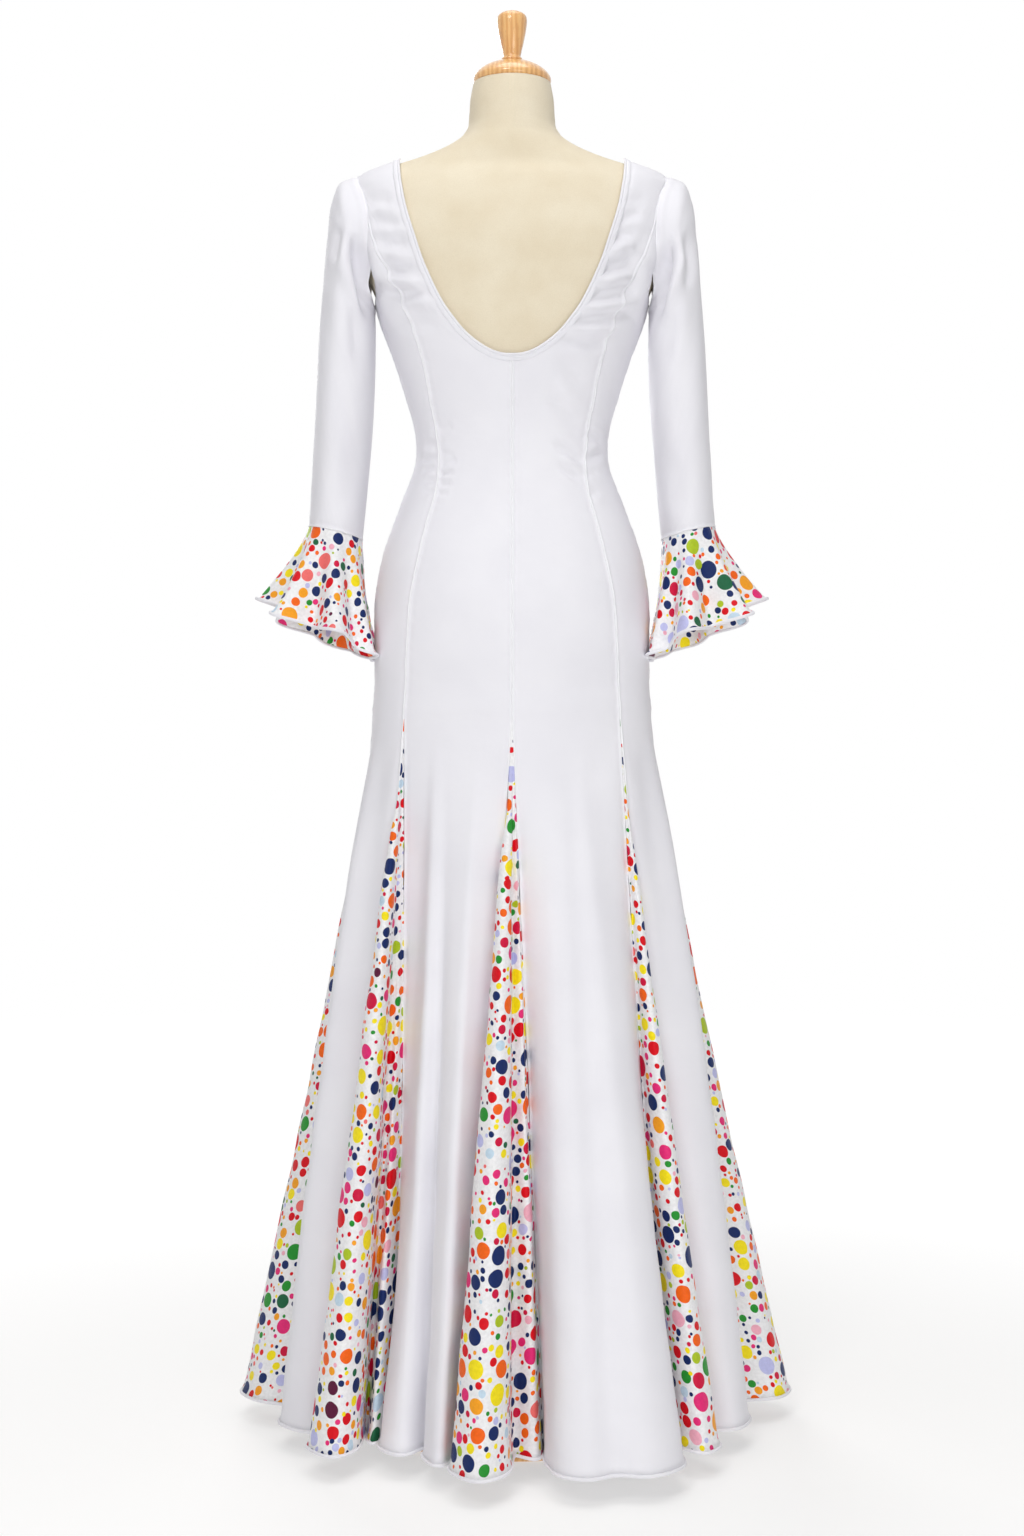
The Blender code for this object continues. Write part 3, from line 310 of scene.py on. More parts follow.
def unit(vectors):
    return vectors / np.maximum(np.linalg.norm(vectors, axis=-1, keepdims=True), 1e-12)


def curve_through(points, steps):
    """A round curve through points of any dimension, with steps places between two."""
    points = np.asarray(points, float)
    gaps = np.sqrt(np.linalg.norm(np.diff(points[:, :2], axis=0), axis=1))
    knots = np.concatenate([[0], np.cumsum(gaps)])
    at = np.concatenate([
        np.linspace(knots[i], knots[i + 1], steps, endpoint=False)
        for i in range(len(knots) - 1)
    ] + [knots[-1:]])
    return np.stack([smooth_read(knots, values, at) for values in points.T], axis=1)


# ---------------------------------------------------------------- the body

def section_at(z):
    z_knots = column(BODY, "z")
    return {name: smooth_read(z_knots, column(BODY, name), z)
            for name in ("half_width", "front", "back", "squareness")}


def body_at(angle, z):
    """Points on the dress form."""
    angle, z = np.broadcast_arrays(np.asarray(angle, float), np.asarray(z, float))
    part = section_at(z)
    power = 2 / part["squareness"]
    c, s = np.cos(angle), np.sin(angle)
    x = part["half_width"] * np.sign(c) * np.abs(c) ** power
    bust = BUST_RISE * np.exp(-((np.abs(x) - BUST_X) / BUST_REACH_X) ** 2
                              - ((z - BUST_Z) / BUST_REACH_Z) ** 2)
    depth = np.where(s > 0, part["back"], part["front"] + bust)
    y = depth * np.sign(s) * np.abs(s) ** power
    return np.stack([x, y, z], axis=-1)


def body_normal(angle, z):
    step = 1e-4
    round_it = body_at(angle + step, z) - body_at(angle - step, z)
    up = body_at(angle, z + step) - body_at(angle, z - step)
    return unit(np.cross(round_it, up))


def cloth_on_body(angle, z):
    """The outside of the cloth over the form, and its normals."""
    angle, z = np.broadcast_arrays(np.asarray(angle, float), np.asarray(z, float))
    normal = body_normal(angle, z)
    free = smooth_step((HANG_HEIGHT - z) / (HANG_HEIGHT - APEX_HEIGHT))
    return body_at(angle, z) + normal * (EASE + HANG_EASE * free)[..., None], normal


def angle_at(x, z):
    """The angle, on the back, of a place this far from the centre line."""
    part = section_at(z)
    share = np.clip(np.asarray(x) / (part["half_width"] + EASE), 0, 1)
    return np.arccos(share ** (part["squareness"] / 2))


def ridge_height(x):
    """Height of the shoulder at this distance from the centre line."""
    z = np.linspace(1.484, 1.545, 400)
    width = section_at(z)["half_width"]
    return float(np.interp(-x, -width, z))


# ---------------------------------------------------------------- creases
# Each crease is a line of (x, z) places seen from the back (side 1) or the front
# (side -1), with its depth in CREASE_UNIT (a ridge is negative) and its width in
# CREASE_WIDTH.

Crease = namedtuple("Crease", "side depth width line")
CREASES = (
    # the left half of the back, from the strap down to the bust line
    Crease(1, 0.9, 7, ((0.174, 1.452), (0.139, 1.444))),
    Crease(1, 1.3, 6, ((0.168, 1.430), (0.132, 1.411))),
    Crease(1, -0.8, 6, ((0.164, 1.415), (0.130, 1.400))),
    Crease(1, 1.4, 6, ((0.160, 1.404), (0.121, 1.391))),
    Crease(1, -0.9, 7, ((0.152, 1.384), (0.118, 1.374))),
    Crease(1, 1.5, 6, ((0.152, 1.369), (0.115, 1.359))),
    Crease(1, -1.4, 6, ((0.150, 1.356), (0.106, 1.344))),
    Crease(1, 2.2, 6, ((0.164, 1.346), (0.139, 1.340), (0.102, 1.328))),
    Crease(1, -1.1, 5, ((0.130, 1.329), (0.094, 1.321))),
    Crease(1, 1.1, 5, ((0.126, 1.319), (0.086, 1.311))),
    Crease(1, 1.2, 6, ((0.141, 1.307), (0.085, 1.298))),
    Crease(1, -0.7, 7, ((0.150, 1.320), (0.126, 1.300))),
    # the right half of the back, where the pulls rise to the arm
    Crease(1, 0.8, 7, ((-0.128, 1.440), (-0.160, 1.452))),
    Crease(1, 1.3, 6, ((-0.120, 1.414), (-0.153, 1.435))),
    Crease(1, 1.2, 5, ((-0.114, 1.396), (-0.147, 1.411))),
    Crease(1, -0.9, 7, ((-0.110, 1.380), (-0.148, 1.395))),
    Crease(1, 1.6, 6, ((-0.101, 1.358), (-0.142, 1.375))),
    Crease(1, -1.3, 6, ((-0.096, 1.344), (-0.142, 1.359))),
    Crease(1, 1.9, 6, ((-0.091, 1.327), (-0.126, 1.340), (-0.147, 1.346))),
    Crease(1, -1.3, 5, ((-0.084, 1.313), (-0.122, 1.322), (-0.148, 1.333))),
    Crease(1, 2.2, 5, ((-0.071, 1.298), (-0.108, 1.307), (-0.148, 1.319))),
    Crease(1, -1.0, 5, ((-0.066, 1.288), (-0.108, 1.295), (-0.130, 1.302))),
    Crease(1, 1.5, 5, ((-0.054, 1.279), (-0.090, 1.277), (-0.114, 1.285))),
    Crease(1, 1.0, 5, ((-0.156, 1.378), (-0.164, 1.358))),
    Crease(1, -0.7, 5, ((-0.148, 1.392), (-0.152, 1.368))),
    Crease(1, 0.8, 9, ((-0.052, 1.264), (-0.084, 1.228))),
    Crease(1, 0.9, 8, ((-0.042, 1.217), (-0.081, 1.183))),
    Crease(1, -0.6, 8, ((-0.048, 1.238), (-0.080, 1.206))),
    # drag lines that meet the princess seams at the waist
    Crease(1, 1.4, 5, ((-0.048, 1.166), (-0.082, 1.142))),
    Crease(1, -0.9, 4, ((-0.056, 1.148), (-0.082, 1.131))),
    Crease(1, 1.2, 4, ((-0.054, 1.138), (-0.083, 1.119))),
    Crease(1, 1.0, 4, ((-0.088, 1.178), (-0.107, 1.168))),
    Crease(1, 1.2, 4, ((-0.087, 1.144), (-0.110, 1.157))),
    Crease(1, 0.8, 4, ((-0.088, 1.125), (-0.102, 1.132))),
    Crease(1, 0.7, 4, ((-0.091, 1.098), (-0.101, 1.110))),
    Crease(1, 0.6, 5, ((0.086, 1.180), (0.070, 1.186))),
    Crease(1, 0.9, 3.5, ((0.086, 1.150), (0.066, 1.149))),
    Crease(1, 1.2, 3.5, ((0.086, 1.138), (0.064, 1.143))),
    Crease(1, 1.3, 3, ((0.087, 1.126), (0.067, 1.129))),
    Crease(1, 1.1, 3, ((0.087, 1.114), (0.069, 1.116))),
    Crease(1, 0.8, 3, ((0.088, 1.103), (0.074, 1.102))),
    Crease(1, 0.7, 4, ((0.104, 1.166), (0.090, 1.163))),
    Crease(1, 1.0, 3.5, ((0.107, 1.146), (0.089, 1.150))),
    Crease(1, 1.1, 3, ((0.106, 1.133), (0.090, 1.137))),
    Crease(1, 0.9, 3, ((0.103, 1.120), (0.091, 1.122))),
    Crease(1, 0.7, 3, ((0.104, 1.107), (0.092, 1.109))),
    # under the arms
    Crease(1, 1.0, 6, ((0.160, 1.362), (0.150, 1.336))),
    Crease(1, 0.9, 7, ((0.160, 1.330), (0.136, 1.326))),
    Crease(1, 0.8, 7, ((-0.162, 1.334), (-0.138, 1.326))),
    # the back of the sleeves: the cap folds over a deep hollow beside the armhole
    Crease(1, 7.0, 9, ((0.188, 1.408), (0.180, 1.372), (0.170, 1.330), (0.165, 1.305))),
    Crease(1, -3.0, 6, ((0.199, 1.412), (0.194, 1.380), (0.182, 1.338), (0.172, 1.308))),
    Crease(1, 2.0, 5, ((0.206, 1.424), (0.203, 1.370))),
    Crease(1, 2.2, 8, ((0.194, 1.360), (0.184, 1.300), (0.176, 1.245))),
    Crease(1, 1.0, 10, ((0.198, 1.300), (0.196, 1.220), (0.190, 1.150))),
    Crease(1, -0.8, 12, ((0.212, 1.330), (0.210, 1.230), (0.214, 1.120))),
    Crease(1, 0.9, 9, ((0.180, 1.180), (0.196, 1.110), (0.212, 1.075))),
    Crease(1, 7.0, 9, ((-0.189, 1.400), (-0.181, 1.366), (-0.171, 1.328), (-0.165, 1.303))),
    Crease(1, -3.0, 6, ((-0.200, 1.404), (-0.195, 1.376), (-0.183, 1.336), (-0.172, 1.306))),
    Crease(1, 2.0, 5, ((-0.208, 1.418), (-0.204, 1.340))),
    Crease(1, 2.0, 8, ((-0.192, 1.345), (-0.183, 1.290), (-0.176, 1.250))),
    Crease(1, 1.0, 10, ((-0.200, 1.320), (-0.199, 1.240), (-0.194, 1.170))),
    Crease(1, -0.8, 12, ((-0.214, 1.300), (-0.212, 1.210), (-0.217, 1.120))),
    Crease(1, 0.8, 9, ((-0.182, 1.160), (-0.198, 1.100), (-0.214, 1.075))),
    # the front, alike
    Crease(-1, 1.2, 6, ((0.166, 1.426), (0.120, 1.408))),
    Crease(-1, 1.0, 6, ((-0.166, 1.430), (-0.126, 1.414))),
    Crease(-1, 1.4, 7, ((0.158, 1.372), (0.120, 1.340))),
    Crease(-1, 1.3, 7, ((-0.158, 1.376), (-0.116, 1.346))),
    Crease(-1, -0.9, 6, ((0.160, 1.354), (0.124, 1.326))),
    Crease(-1, 1.0, 7, ((0.110, 1.262), (0.078, 1.246))),
    Crease(-1, 1.0, 7, ((-0.112, 1.258), (-0.074, 1.250))),
    Crease(-1, 0.9, 4, ((0.098, 1.166), (0.078, 1.160))),
    Crease(-1, 1.0, 4, ((0.072, 1.144), (0.048, 1.150))),
    Crease(-1, 0.9, 4, ((0.096, 1.132), (0.080, 1.126))),
    Crease(-1, 0.9, 4, ((-0.098, 1.160), (-0.078, 1.166))),
    Crease(-1, 1.0, 4, ((-0.074, 1.138), (-0.046, 1.146))),
    Crease(-1, 0.8, 4, ((-0.096, 1.124), (-0.078, 1.118))),
    Crease(-1, 5.0, 9, ((0.186, 1.404), (0.178, 1.366), (0.168, 1.322))),
    Crease(-1, -2.4, 6, ((0.197, 1.408), (0.191, 1.372), (0.178, 1.326))),
    Crease(-1, 5.0, 9, ((-0.186, 1.398), (-0.178, 1.362), (-0.168, 1.320))),
    Crease(-1, -2.4, 6, ((-0.197, 1.402), (-0.191, 1.368), (-0.178, 1.324))),
    Crease(-1, 1.6, 9, ((0.196, 1.330), (0.186, 1.250), (0.190, 1.160))),
    Crease(-1, 1.5, 9, ((-0.197, 1.340), (-0.188, 1.260), (-0.192, 1.170))),
    Crease(-1, 0.9, 11, ((0.212, 1.280), (0.216, 1.150))),
    Crease(-1, 0.9, 11, ((-0.214, 1.290), (-0.216, 1.140))),
)

# ---------------------------------------------------------------- bodice seams
# Each seam is a list of (angle, height) pairs for the left half of the dress. side is
# +1 on the back and -1 on the front.

def armhole(turn, side):
    middle = (ARMHOLE_TOP + ARMHOLE_BOTTOM) / 2
    half = (ARMHOLE_TOP - ARMHOLE_BOTTOM) / 2
    turn = np.asarray(turn, float)
    z = middle + half * np.cos(turn)
    y = ARMHOLE_HALF_DEPTH * np.sin(turn)
    part = section_at(z)
    depth = part["back"] if side > 0 else part["front"]
    share = np.clip(y / (depth + EASE), 0, 1)
    return np.stack([side * np.arcsin(share ** (part["squareness"] / 2)), z], axis=-1)


def princess(z, side):
    marks = BACK_PRINCESS if side > 0 else FRONT_PRINCESS
    top = armhole(PRINCESS_TOP_TURN, side)
    heights = np.append(column(marks, "z"), top[1])
    angles = angle_at(column(marks, "x"), column(marks, "z"))
    angles = np.append(angles, abs(top[0]))
    return np.stack([side * smooth_read(heights, angles, z), np.asarray(z)], axis=-1)


def neckline(share, side, outwards=0.0):
    """Places along the neckline from the centre to the shoulder, moved out over the cloth."""
    marks = BACK_NECKLINE if side > 0 else FRONT_NECKLINE
    top = [(NECK_INNER_X, ridge_height(NECK_INNER_X))]
    line = curve_through([(m.x, m.z) for m in marks] + top, NECK_STEPS)
    tangent = unit(np.gradient(line, axis=0))
    tangent[0] = (1, 0)
    line = line + outwards * np.stack([tangent[:, 1], -tangent[:, 0]], axis=1)
    line[-1] = (NECK_INNER_X + outwards, ridge_height(NECK_INNER_X + outwards))
    angle = side * angle_at(line[:, 0], line[:, 1])
    angle[0], angle[-1] = side * math.pi / 2, 0
    runs = np.linalg.norm(np.diff(body_at(angle, line[:, 1]), axis=0), axis=1)
    lengths = np.concatenate([[0], np.cumsum(runs)]) / runs.sum()
    return np.stack([np.interp(share, lengths, angle),
                     np.interp(share, lengths, line[:, 1])], axis=-1)


def dense(values, splits=()):
    """The rows of a table with further rows between them, ROW_SPLIT where none are given."""
    values = np.asarray(values, float)
    splits = list(splits) + [ROW_SPLIT] * (len(values) - 1 - len(splits))
    at = np.concatenate([np.linspace(i, i + 1, split, endpoint=False)
                         for i, split in enumerate(splits)] + [[len(values) - 1]])
    return np.interp(at, np.arange(len(values)), values)


def even_splits(side):
    """How often the rows below the neckline are split, to keep them evenly apart."""
    rows, gap = (BACK_ROWS, BACK_ROW_GAP) if side > 0 else (FRONT_ROWS, FRONT_ROW_GAP)
    return [max(6, round(step / gap)) for step in np.diff(rows.below_neck)]


def princess_rows(side):
    """Where the rows of the panels meet the princess seam."""
    rows = BACK_ROWS if side > 0 else FRONT_ROWS
    top_z = armhole(PRINCESS_TOP_TURN, side)[1]
    heights = rows.below_neck + rows.above_neck + (float(top_z),)
    return princess(dense(heights, even_splits(side)), side)


def center_rows(side):
    """Inner and outer ends of every row of a centre panel."""
    rows = BACK_ROWS if side > 0 else FRONT_ROWS
    below = dense(rows.below_neck, even_splits(side))
    neck_bottom = neckline(0.0, side, NECK_TURN)[1]
    inner_z = APEX_HEIGHT + (below - APEX_HEIGHT) * (
        (neck_bottom - APEX_HEIGHT) / (below[-1] - APEX_HEIGHT))
    inner = np.stack([np.full_like(inner_z, side * math.pi / 2), inner_z], axis=-1)
    neck = neckline(dense((0.0,) + rows.neck_shares)[1:], side, NECK_TURN)
    strap = dense((0.0,) + STRAP_SHARES)[1:]
    strap = armhole(PRINCESS_TOP_TURN * (1 - strap), side)
    return np.concatenate([inner, neck]), np.concatenate([princess_rows(side), strap])


def edge_dense(columns):
    """Shares from 0 to 1 that crowd towards both ends."""
    share = np.linspace(0, 1, columns + 1)
    return share - EDGE_CROWDING * np.sin(2 * math.pi * share) / (2 * math.pi)


def center_grid(side):
    """Angles and heights of a centre panel from the centre line to the princess seam."""
    inner, outer = center_rows(side)
    across = edge_dense(CENTER_COLUMNS)[None, :, None]
    return lerp(inner[:, None], outer[:, None], across)


def side_grid(side):
    """Angles and heights of a side panel from the princess seam to the side seam."""
    inner = princess_rows(side)
    rows = len(inner)
    outer_z = lerp(APEX_HEIGHT, ARMHOLE_BOTTOM, np.linspace(0, 1, rows))
    outer = np.stack([np.zeros(rows), outer_z], axis=-1)
    share = edge_dense(SIDE_COLUMNS)
    up = np.linspace(0, 1, rows)[:, None, None]
    top = armhole(lerp(PRINCESS_TOP_TURN, math.pi, share), side)
    top[-1, 0] = 0
    straight_top = lerp(inner[-1], outer[-1], share[:, None])
    flat = lerp(inner[:, None], outer[:, None], share[None, :, None])
    return flat + up**3 * (top - straight_top)[None]


# ---------------------------------------------------------------- the skirt

def hem_curves():
    """For each piece, its hem as dense (x, y, late) places evenly read by length."""
    closing = HEM[-1][1][-1]
    points, ends = [tuple(closing)], [0]
    for _, folds in HEM:
        points += [tuple(fold) for fold in folds]
        ends.append(len(points) - 1)
    steps, lap = HEM_STEPS, 3
    around = points[-1 - lap:-1] + points + points[1:1 + lap]
    curve = curve_through(around, steps)[lap * steps:]
    curves = {}
    for i, name in enumerate(PIECES):
        part = curve[ends[i] * steps:ends[i + 1] * steps + 1]
        runs = np.linalg.norm(np.diff(part[:, :2], axis=0), axis=1)
        share = np.concatenate([[0], np.cumsum(runs)]) / runs.sum()
        curves[name] = (share, part)
    return curves


PIECES = [name for name, _ in HEM]
HEM_CURVES = hem_curves()


def hip_angles():
    """The angles between which each panel hangs, in the order of HEM."""
    back = float(princess(APEX_HEIGHT, 1)[0])
    front = -float(princess(APEX_HEIGHT, -1)[0])
    half, full = math.pi / 2, math.pi
    return {
        "center_back_left": (half, back),
        "side_back_left": (back, 0.0),
        "side_front_left": (0.0, -front),
        "center_front": (-front, front - full),
        "side_front_right": (front - full, -full),
        "side_back_right": (full, full - back),
        "center_back_right": (full - back, half),
    }


HIP_ANGLES = hip_angles()


def is_godet(name):
    return name.startswith("godet")


def hang_start(name, share):
    """Where the cloth of a panel leaves the hips, seen from above."""
    if is_godet(name):
        before = PIECES[PIECES.index(name) - 1]
        angle = np.full_like(share, HIP_ANGLES[before][1])
    else:
        angle = lerp(*HIP_ANGLES[name], share)
    return cloth_on_body(angle, APEX_HEIGHT)[0][..., :2]


def fall(name, share, level):
    """Places on a line from the hips to the hem, at this share of the drop."""
    share = np.asarray(share, float)
    runs, part = HEM_CURVES[name]
    hem = np.stack([np.interp(share, runs, part[:, 0]), np.interp(share, runs, part[:, 1])], -1)
    late = np.interp(share, runs, part[:, 2])
    turn = 1e-6 if is_godet(name) else FLARE_START * np.sin(math.pi * share) + 1e-6
    gone = np.where(level < turn, level**2 / (2 * turn), level - turn / 2) / (1 - turn / 2)
    start = hang_start(name, share)
    return start + (hem - start) * (gone ** (1 + late))[..., None]


def skirt_plan(name, share, level):
    """The skirt at one level seen from above. Near its apex a godet is still flat."""
    share = np.asarray(share, float)
    place = fall(name, share, level)
    if not is_godet(name):
        return place
    first, last = fall(name, np.array([0.0, 1.0]), level)
    chord = lerp(first, last, share[..., None])
    return chord + (place - chord) * smooth_step(level / GODET_FULL)


def skirt_grid(name, columns, lowest_level=0.0):
    """Rows of skirt points from the hem up to the hips."""
    share = edge_dense(columns)
    if name == "center_front":
        half = edge_dense(columns // 2) / 2
        share = np.concatenate([half, half[1:] + 0.5])
    levels = lowest_level + (1 - lowest_level) * np.linspace(1, 0, SKIRT_ROWS)
    rows = []
    for level in levels:
        plan = skirt_plan(name, share, level)
        z = np.full((columns + 1, 1), lerp(APEX_HEIGHT, HEM_HEIGHT, level))
        rows.append(np.concatenate([plan, z], axis=1))
    return np.array(rows)


# ---------------------------------------------------------------- panels as grids
# A grid is rows of points from the hem up, with its columns running round the dress
# from the middle of the back over the left side.

FLIP = np.array([-1.0, 1.0, 1.0])


def panel_grid(name):
    side = 1 if "back" in name else -1
    if name.startswith("center"):
        bodice = center_grid(side)
    else:
        bodice = side_grid(side)
    points = cloth_on_body(bodice[..., 0], bodice[..., 1])[0]
    if side < 0:
        points = points[:, ::-1]
    if name == "center_front":
        points = np.concatenate([points, (points * FLIP)[:, ::-1][:, 1:]], axis=1)
    elif name.endswith("right"):
        points = (points * FLIP)[:, ::-1]
    skirt = skirt_grid(name, points.shape[1] - 1)
    return np.concatenate([skirt[:-1], points])


def oval(ring, turns):
    """A slanted oval section of the sleeve. Turn 0 is its outer line, a quarter its back."""
    outer = np.array([ring.outer_x, 0, ring.outer_z])
    inner = np.array([ring.inner_x, 0, ring.inner_z])
    depth = np.array([0, ring.half_depth, 0])
    return ((outer + inner) / 2 + np.cos(turns)[:, None] * (outer - inner) / 2
            + np.sin(turns)[:, None] * depth)


def sleeve_grid():
    """Rings of the left sleeve from the armhole to the flounce."""
    turns = np.linspace(0, 2 * math.pi, SLEEVE_COLUMNS, endpoint=False)
    back, front = armhole(turns, 1), armhole(2 * math.pi - turns, -1)
    marks = np.where((turns <= math.pi)[:, None], back, front)
    head, normal = cloth_on_body(marks[:, 0], marks[:, 1])
    rings = np.array([head + normal * SEAM_GAP] + [oval(ring, turns) for ring in SLEEVE])
    runs = np.linalg.norm(np.diff(rings.mean(axis=1), axis=0), axis=1)
    knots = np.concatenate([[0], np.cumsum(runs)])
    at = edge_dense(SLEEVE_ROWS - 1) * knots[-1]
    flat = rings.reshape(len(rings), -1)
    return np.stack([smooth_read(knots, line, at) for line in flat.T], axis=1).reshape(
        SLEEVE_ROWS, SLEEVE_COLUMNS, 3)


def flounce_grid():
    """Rings of the left flounce from its seam down to its hem."""
    turns = np.linspace(0, 2 * math.pi, FLOUNCE_COLUMNS, endpoint=False)
    top = oval(SLEEVE[-1], turns)
    lap = [Lobe(f.turn - 360, f.reach, f.z) for f in FLOUNCE[-3:]]
    table = lap + list(FLOUNCE) + [Lobe(f.turn + 360, f.reach, f.z) for f in FLOUNCE[:3]]
    degrees = np.degrees(turns)
    reach = smooth_read(column(table, "turn"), column(table, "reach"), degrees)
    z = smooth_read(column(table, "turn"), column(table, "z"), degrees)
    hem = np.stack([FLOUNCE_X + reach * np.cos(turns), reach * np.sin(turns), z], axis=1)
    rows = []
    for level in np.linspace(0, 1, FLOUNCE_ROWS):
        place = lerp(top, hem, level)
        place[:, :2] = lerp(top, hem, level ** FLOUNCE_SWING)[:, :2]
        rows.append(place)
    return np.array(rows)


# ---------------------------------------------------------------- relief of the cloth

def grid_normals(points, around):
    """Outward normals of a grid, by the directions of its rows and columns."""
    up = np.gradient(points, axis=0)
    if around:
        across = np.roll(points, -1, axis=1) - np.roll(points, 1, axis=1)
    else:
        across = np.gradient(points, axis=1)
    normals = unit(np.cross(across, up))
    middle = points.mean(axis=1, keepdims=True) if around else np.array([0, 0, 0])
    outwards = (points - middle) * np.array([1, 1, 0])
    return normals * np.sign(np.sum(normals * outwards))


def arc_lengths(points, axis):
    """How far along the rows or columns each point of a grid lies, in metres."""
    runs = np.linalg.norm(np.diff(points, axis=axis), axis=-1)
    start = np.zeros_like(np.take(runs, [0], axis=axis))
    return np.concatenate([start, np.cumsum(runs, axis=axis)], axis=axis)


def bump(distance, width):
    return np.exp(-(distance / width) ** 2)


CREASE_UNIT = 0.0022     # metres to a unit of the table's depths
CREASE_WIDTH = 0.0012    # metres to a unit of the table's widths
CREASE_REACH = 4         # widths from its line where a crease has died away
CREASE_SWELL = 0.45      # how much of its depth the cloth rises on both sides of it
CREASE_FADE = 0.32       # share of its length over which an end fades out
CREASE_TIP = 0.12        # how far that fading has got at the very end
FACING_SLOPE, FACING_START = 1.6, 0.1   # creases fade where the cloth turns to the side
FAR = 1e9


def crease_relief(points, normals):
    """How far the creases move each point out, in metres."""
    moved = np.zeros(points.shape[:-1])
    flat = points[..., [0, 2]]
    for crease in CREASES:
        line = np.array(crease.line)
        width = crease.width * CREASE_WIDTH
        reach = CREASE_REACH * width
        low, high = line.min(axis=0) - reach, line.max(axis=0) + reach
        near = ((flat > low) & (flat < high)).all(axis=-1)
        facing = smooth_step(crease.side * normals[..., 1] * FACING_SLOPE + FACING_START)
        near &= facing > 0
        if not near.any():
            continue
        place = flat[near]
        runs = np.linalg.norm(np.diff(line, axis=0), axis=1)
        total = runs.sum()
        nearest = np.full(len(place), FAR)
        along = np.zeros(len(place))
        passed = 0.0
        for start, end, run in zip(line[:-1], line[1:], runs):
            share = np.clip(((place - start) @ (end - start)) / run**2, 0, 1)
            distance = np.linalg.norm(place - start - share[:, None] * (end - start), axis=1)
            closer = distance < nearest
            nearest = np.where(closer, distance, nearest)
            along = np.where(closer, (passed + share * run) / total, along)
            passed += run
        taper = smooth_step(np.minimum(along, 1 - along) / CREASE_FADE + CREASE_TIP)
        depth = crease.depth * CREASE_UNIT
        swell = CREASE_SWELL * bump(nearest - 2 * width, width)
        moved[near] -= depth * taper * (bump(nearest, width) - swell) * facing[near]
    return moved


RIPPLE_LENGTHWAYS = 0.6  # waves are longer along the cloth than across it
RIPPLE_POWER = 0.7       # how fast short waves get lower than long ones


def ripple(across, along, seed, waves=9, longest=0.16, shortest=0.03):
    """Soft uneven waves of height 1 over the cloth, the same each time for one seed."""
    rng = np.random.default_rng(seed)
    height = np.zeros_like(across)
    for _ in range(waves):
        length = shortest * (longest / shortest) ** rng.random()
        turn = rng.uniform(0, math.pi)
        phase = rng.uniform(0, 2 * math.pi)
        run = across * math.cos(turn) + along * math.sin(turn) * RIPPLE_LENGTHWAYS
        height += np.sin(2 * math.pi * run / length + phase) * (length / longest) ** RIPPLE_POWER
    return height / math.sqrt(waves)


# Swells beside a seam: how high, how far from the seam and how wide.
Swell = namedtuple("Swell", "height at width")
STITCHES = Swell(-0.00035, 0.0, 0.0004)
ALLOWANCE = Swell(0.00075, 0.0012, 0.0011)
BEHIND_ALLOWANCE = Swell(-0.0004, 0.005, 0.003)
PLACKET_STITCHES = Swell(-0.0004, 0.0095, 0.0009)
SLEEVE_CAP = Swell(0.0012, 0.006, 0.004)
PUCKER = Swell(0.00030, 0.003, 0.006)
PUCKER_LENGTHS = (0.009, 0.013, 0.021, 0.034)
PUCKER_SLANT = 40


def raised(swell, distance):
    return swell.height * bump(distance - swell.at, swell.width)


def seam_relief(distance, along, seed):
    """A stitched line at the seam, a soft ridge over its allowance, and fine puckers."""
    groove = raised(STITCHES, distance)
    ridge = raised(ALLOWANCE, distance) + raised(BEHIND_ALLOWANCE, distance)
    rng = np.random.default_rng(seed)
    height = np.zeros_like(along)
    for length in PUCKER_LENGTHS:
        height += np.sin(2 * math.pi * along / length + rng.uniform(0, 6.3) + PUCKER_SLANT * distance)
    return groove + ridge + PUCKER.height * height / 2 * bump(distance - PUCKER.at, PUCKER.width)


# ---------------------------------------------------------------- meshes

def mesh_object(name, vertices, quads, cloth=None):
    """An object from arrays, with a vector for shaders: its place on the flat cloth, and the painted
    seam highlight where a piece has one.
    """
    data = bpy.data.meshes.new(name)
    data.vertices.add(len(vertices))
    data.vertices.foreach_set("co", np.asarray(vertices, np.float32).ravel())
    quads = np.asarray(quads, np.int32)
    data.loops.add(quads.size)
    data.loops.foreach_set("vertex_index", quads.ravel())
    data.polygons.add(len(quads))
    data.polygons.foreach_set("loop_start", np.arange(len(quads), dtype=np.int32) * 4)
    data.update(calc_edges=True)
    data.shade_smooth()
    if cloth is not None:
        layer = data.attributes.new("cloth_place", "FLOAT_VECTOR", "POINT")
        layer.data.foreach_set("vector", np.asarray(cloth, np.float32).ravel())
    made = bpy.data.objects.new(name, data)
    bpy.context.scene.collection.objects.link(made)
    return made


def grid_faces(rows, columns, around):
    row, col = np.meshgrid(np.arange(rows - 1), np.arange(columns if around else columns - 1),
                           indexing="ij")
    after = (col + 1) % columns
    corners = (row * columns + col, row * columns + after,
               (row + 1) * columns + after, (row + 1) * columns + col)
    return np.stack([c.ravel() for c in corners], axis=1)


def edge_loop(rows, columns, around):
    """The points on the edges of a grid, as one or two closed loops."""
    bottom = np.arange(columns)
    top = (rows - 1) * columns + bottom
    if around:
        return [bottom, top[::-1]]
    right = np.arange(1, rows) * columns + columns - 1
    left = np.arange(rows - 2, 0, -1) * columns
    return [np.concatenate([bottom, right, top[::-1][1:], left])]


def facing_out(vertices, quads, outwards):
    """The quads, turned over if they face against these directions at the vertices."""
    a, b, d = (vertices[quads[:, i]] for i in (0, 1, 3))
    inwards = np.sum(np.cross(b - a, d - a) * outwards[quads[:, 0]]) < 0
    return quads[:, ::-1] if inwards else quads


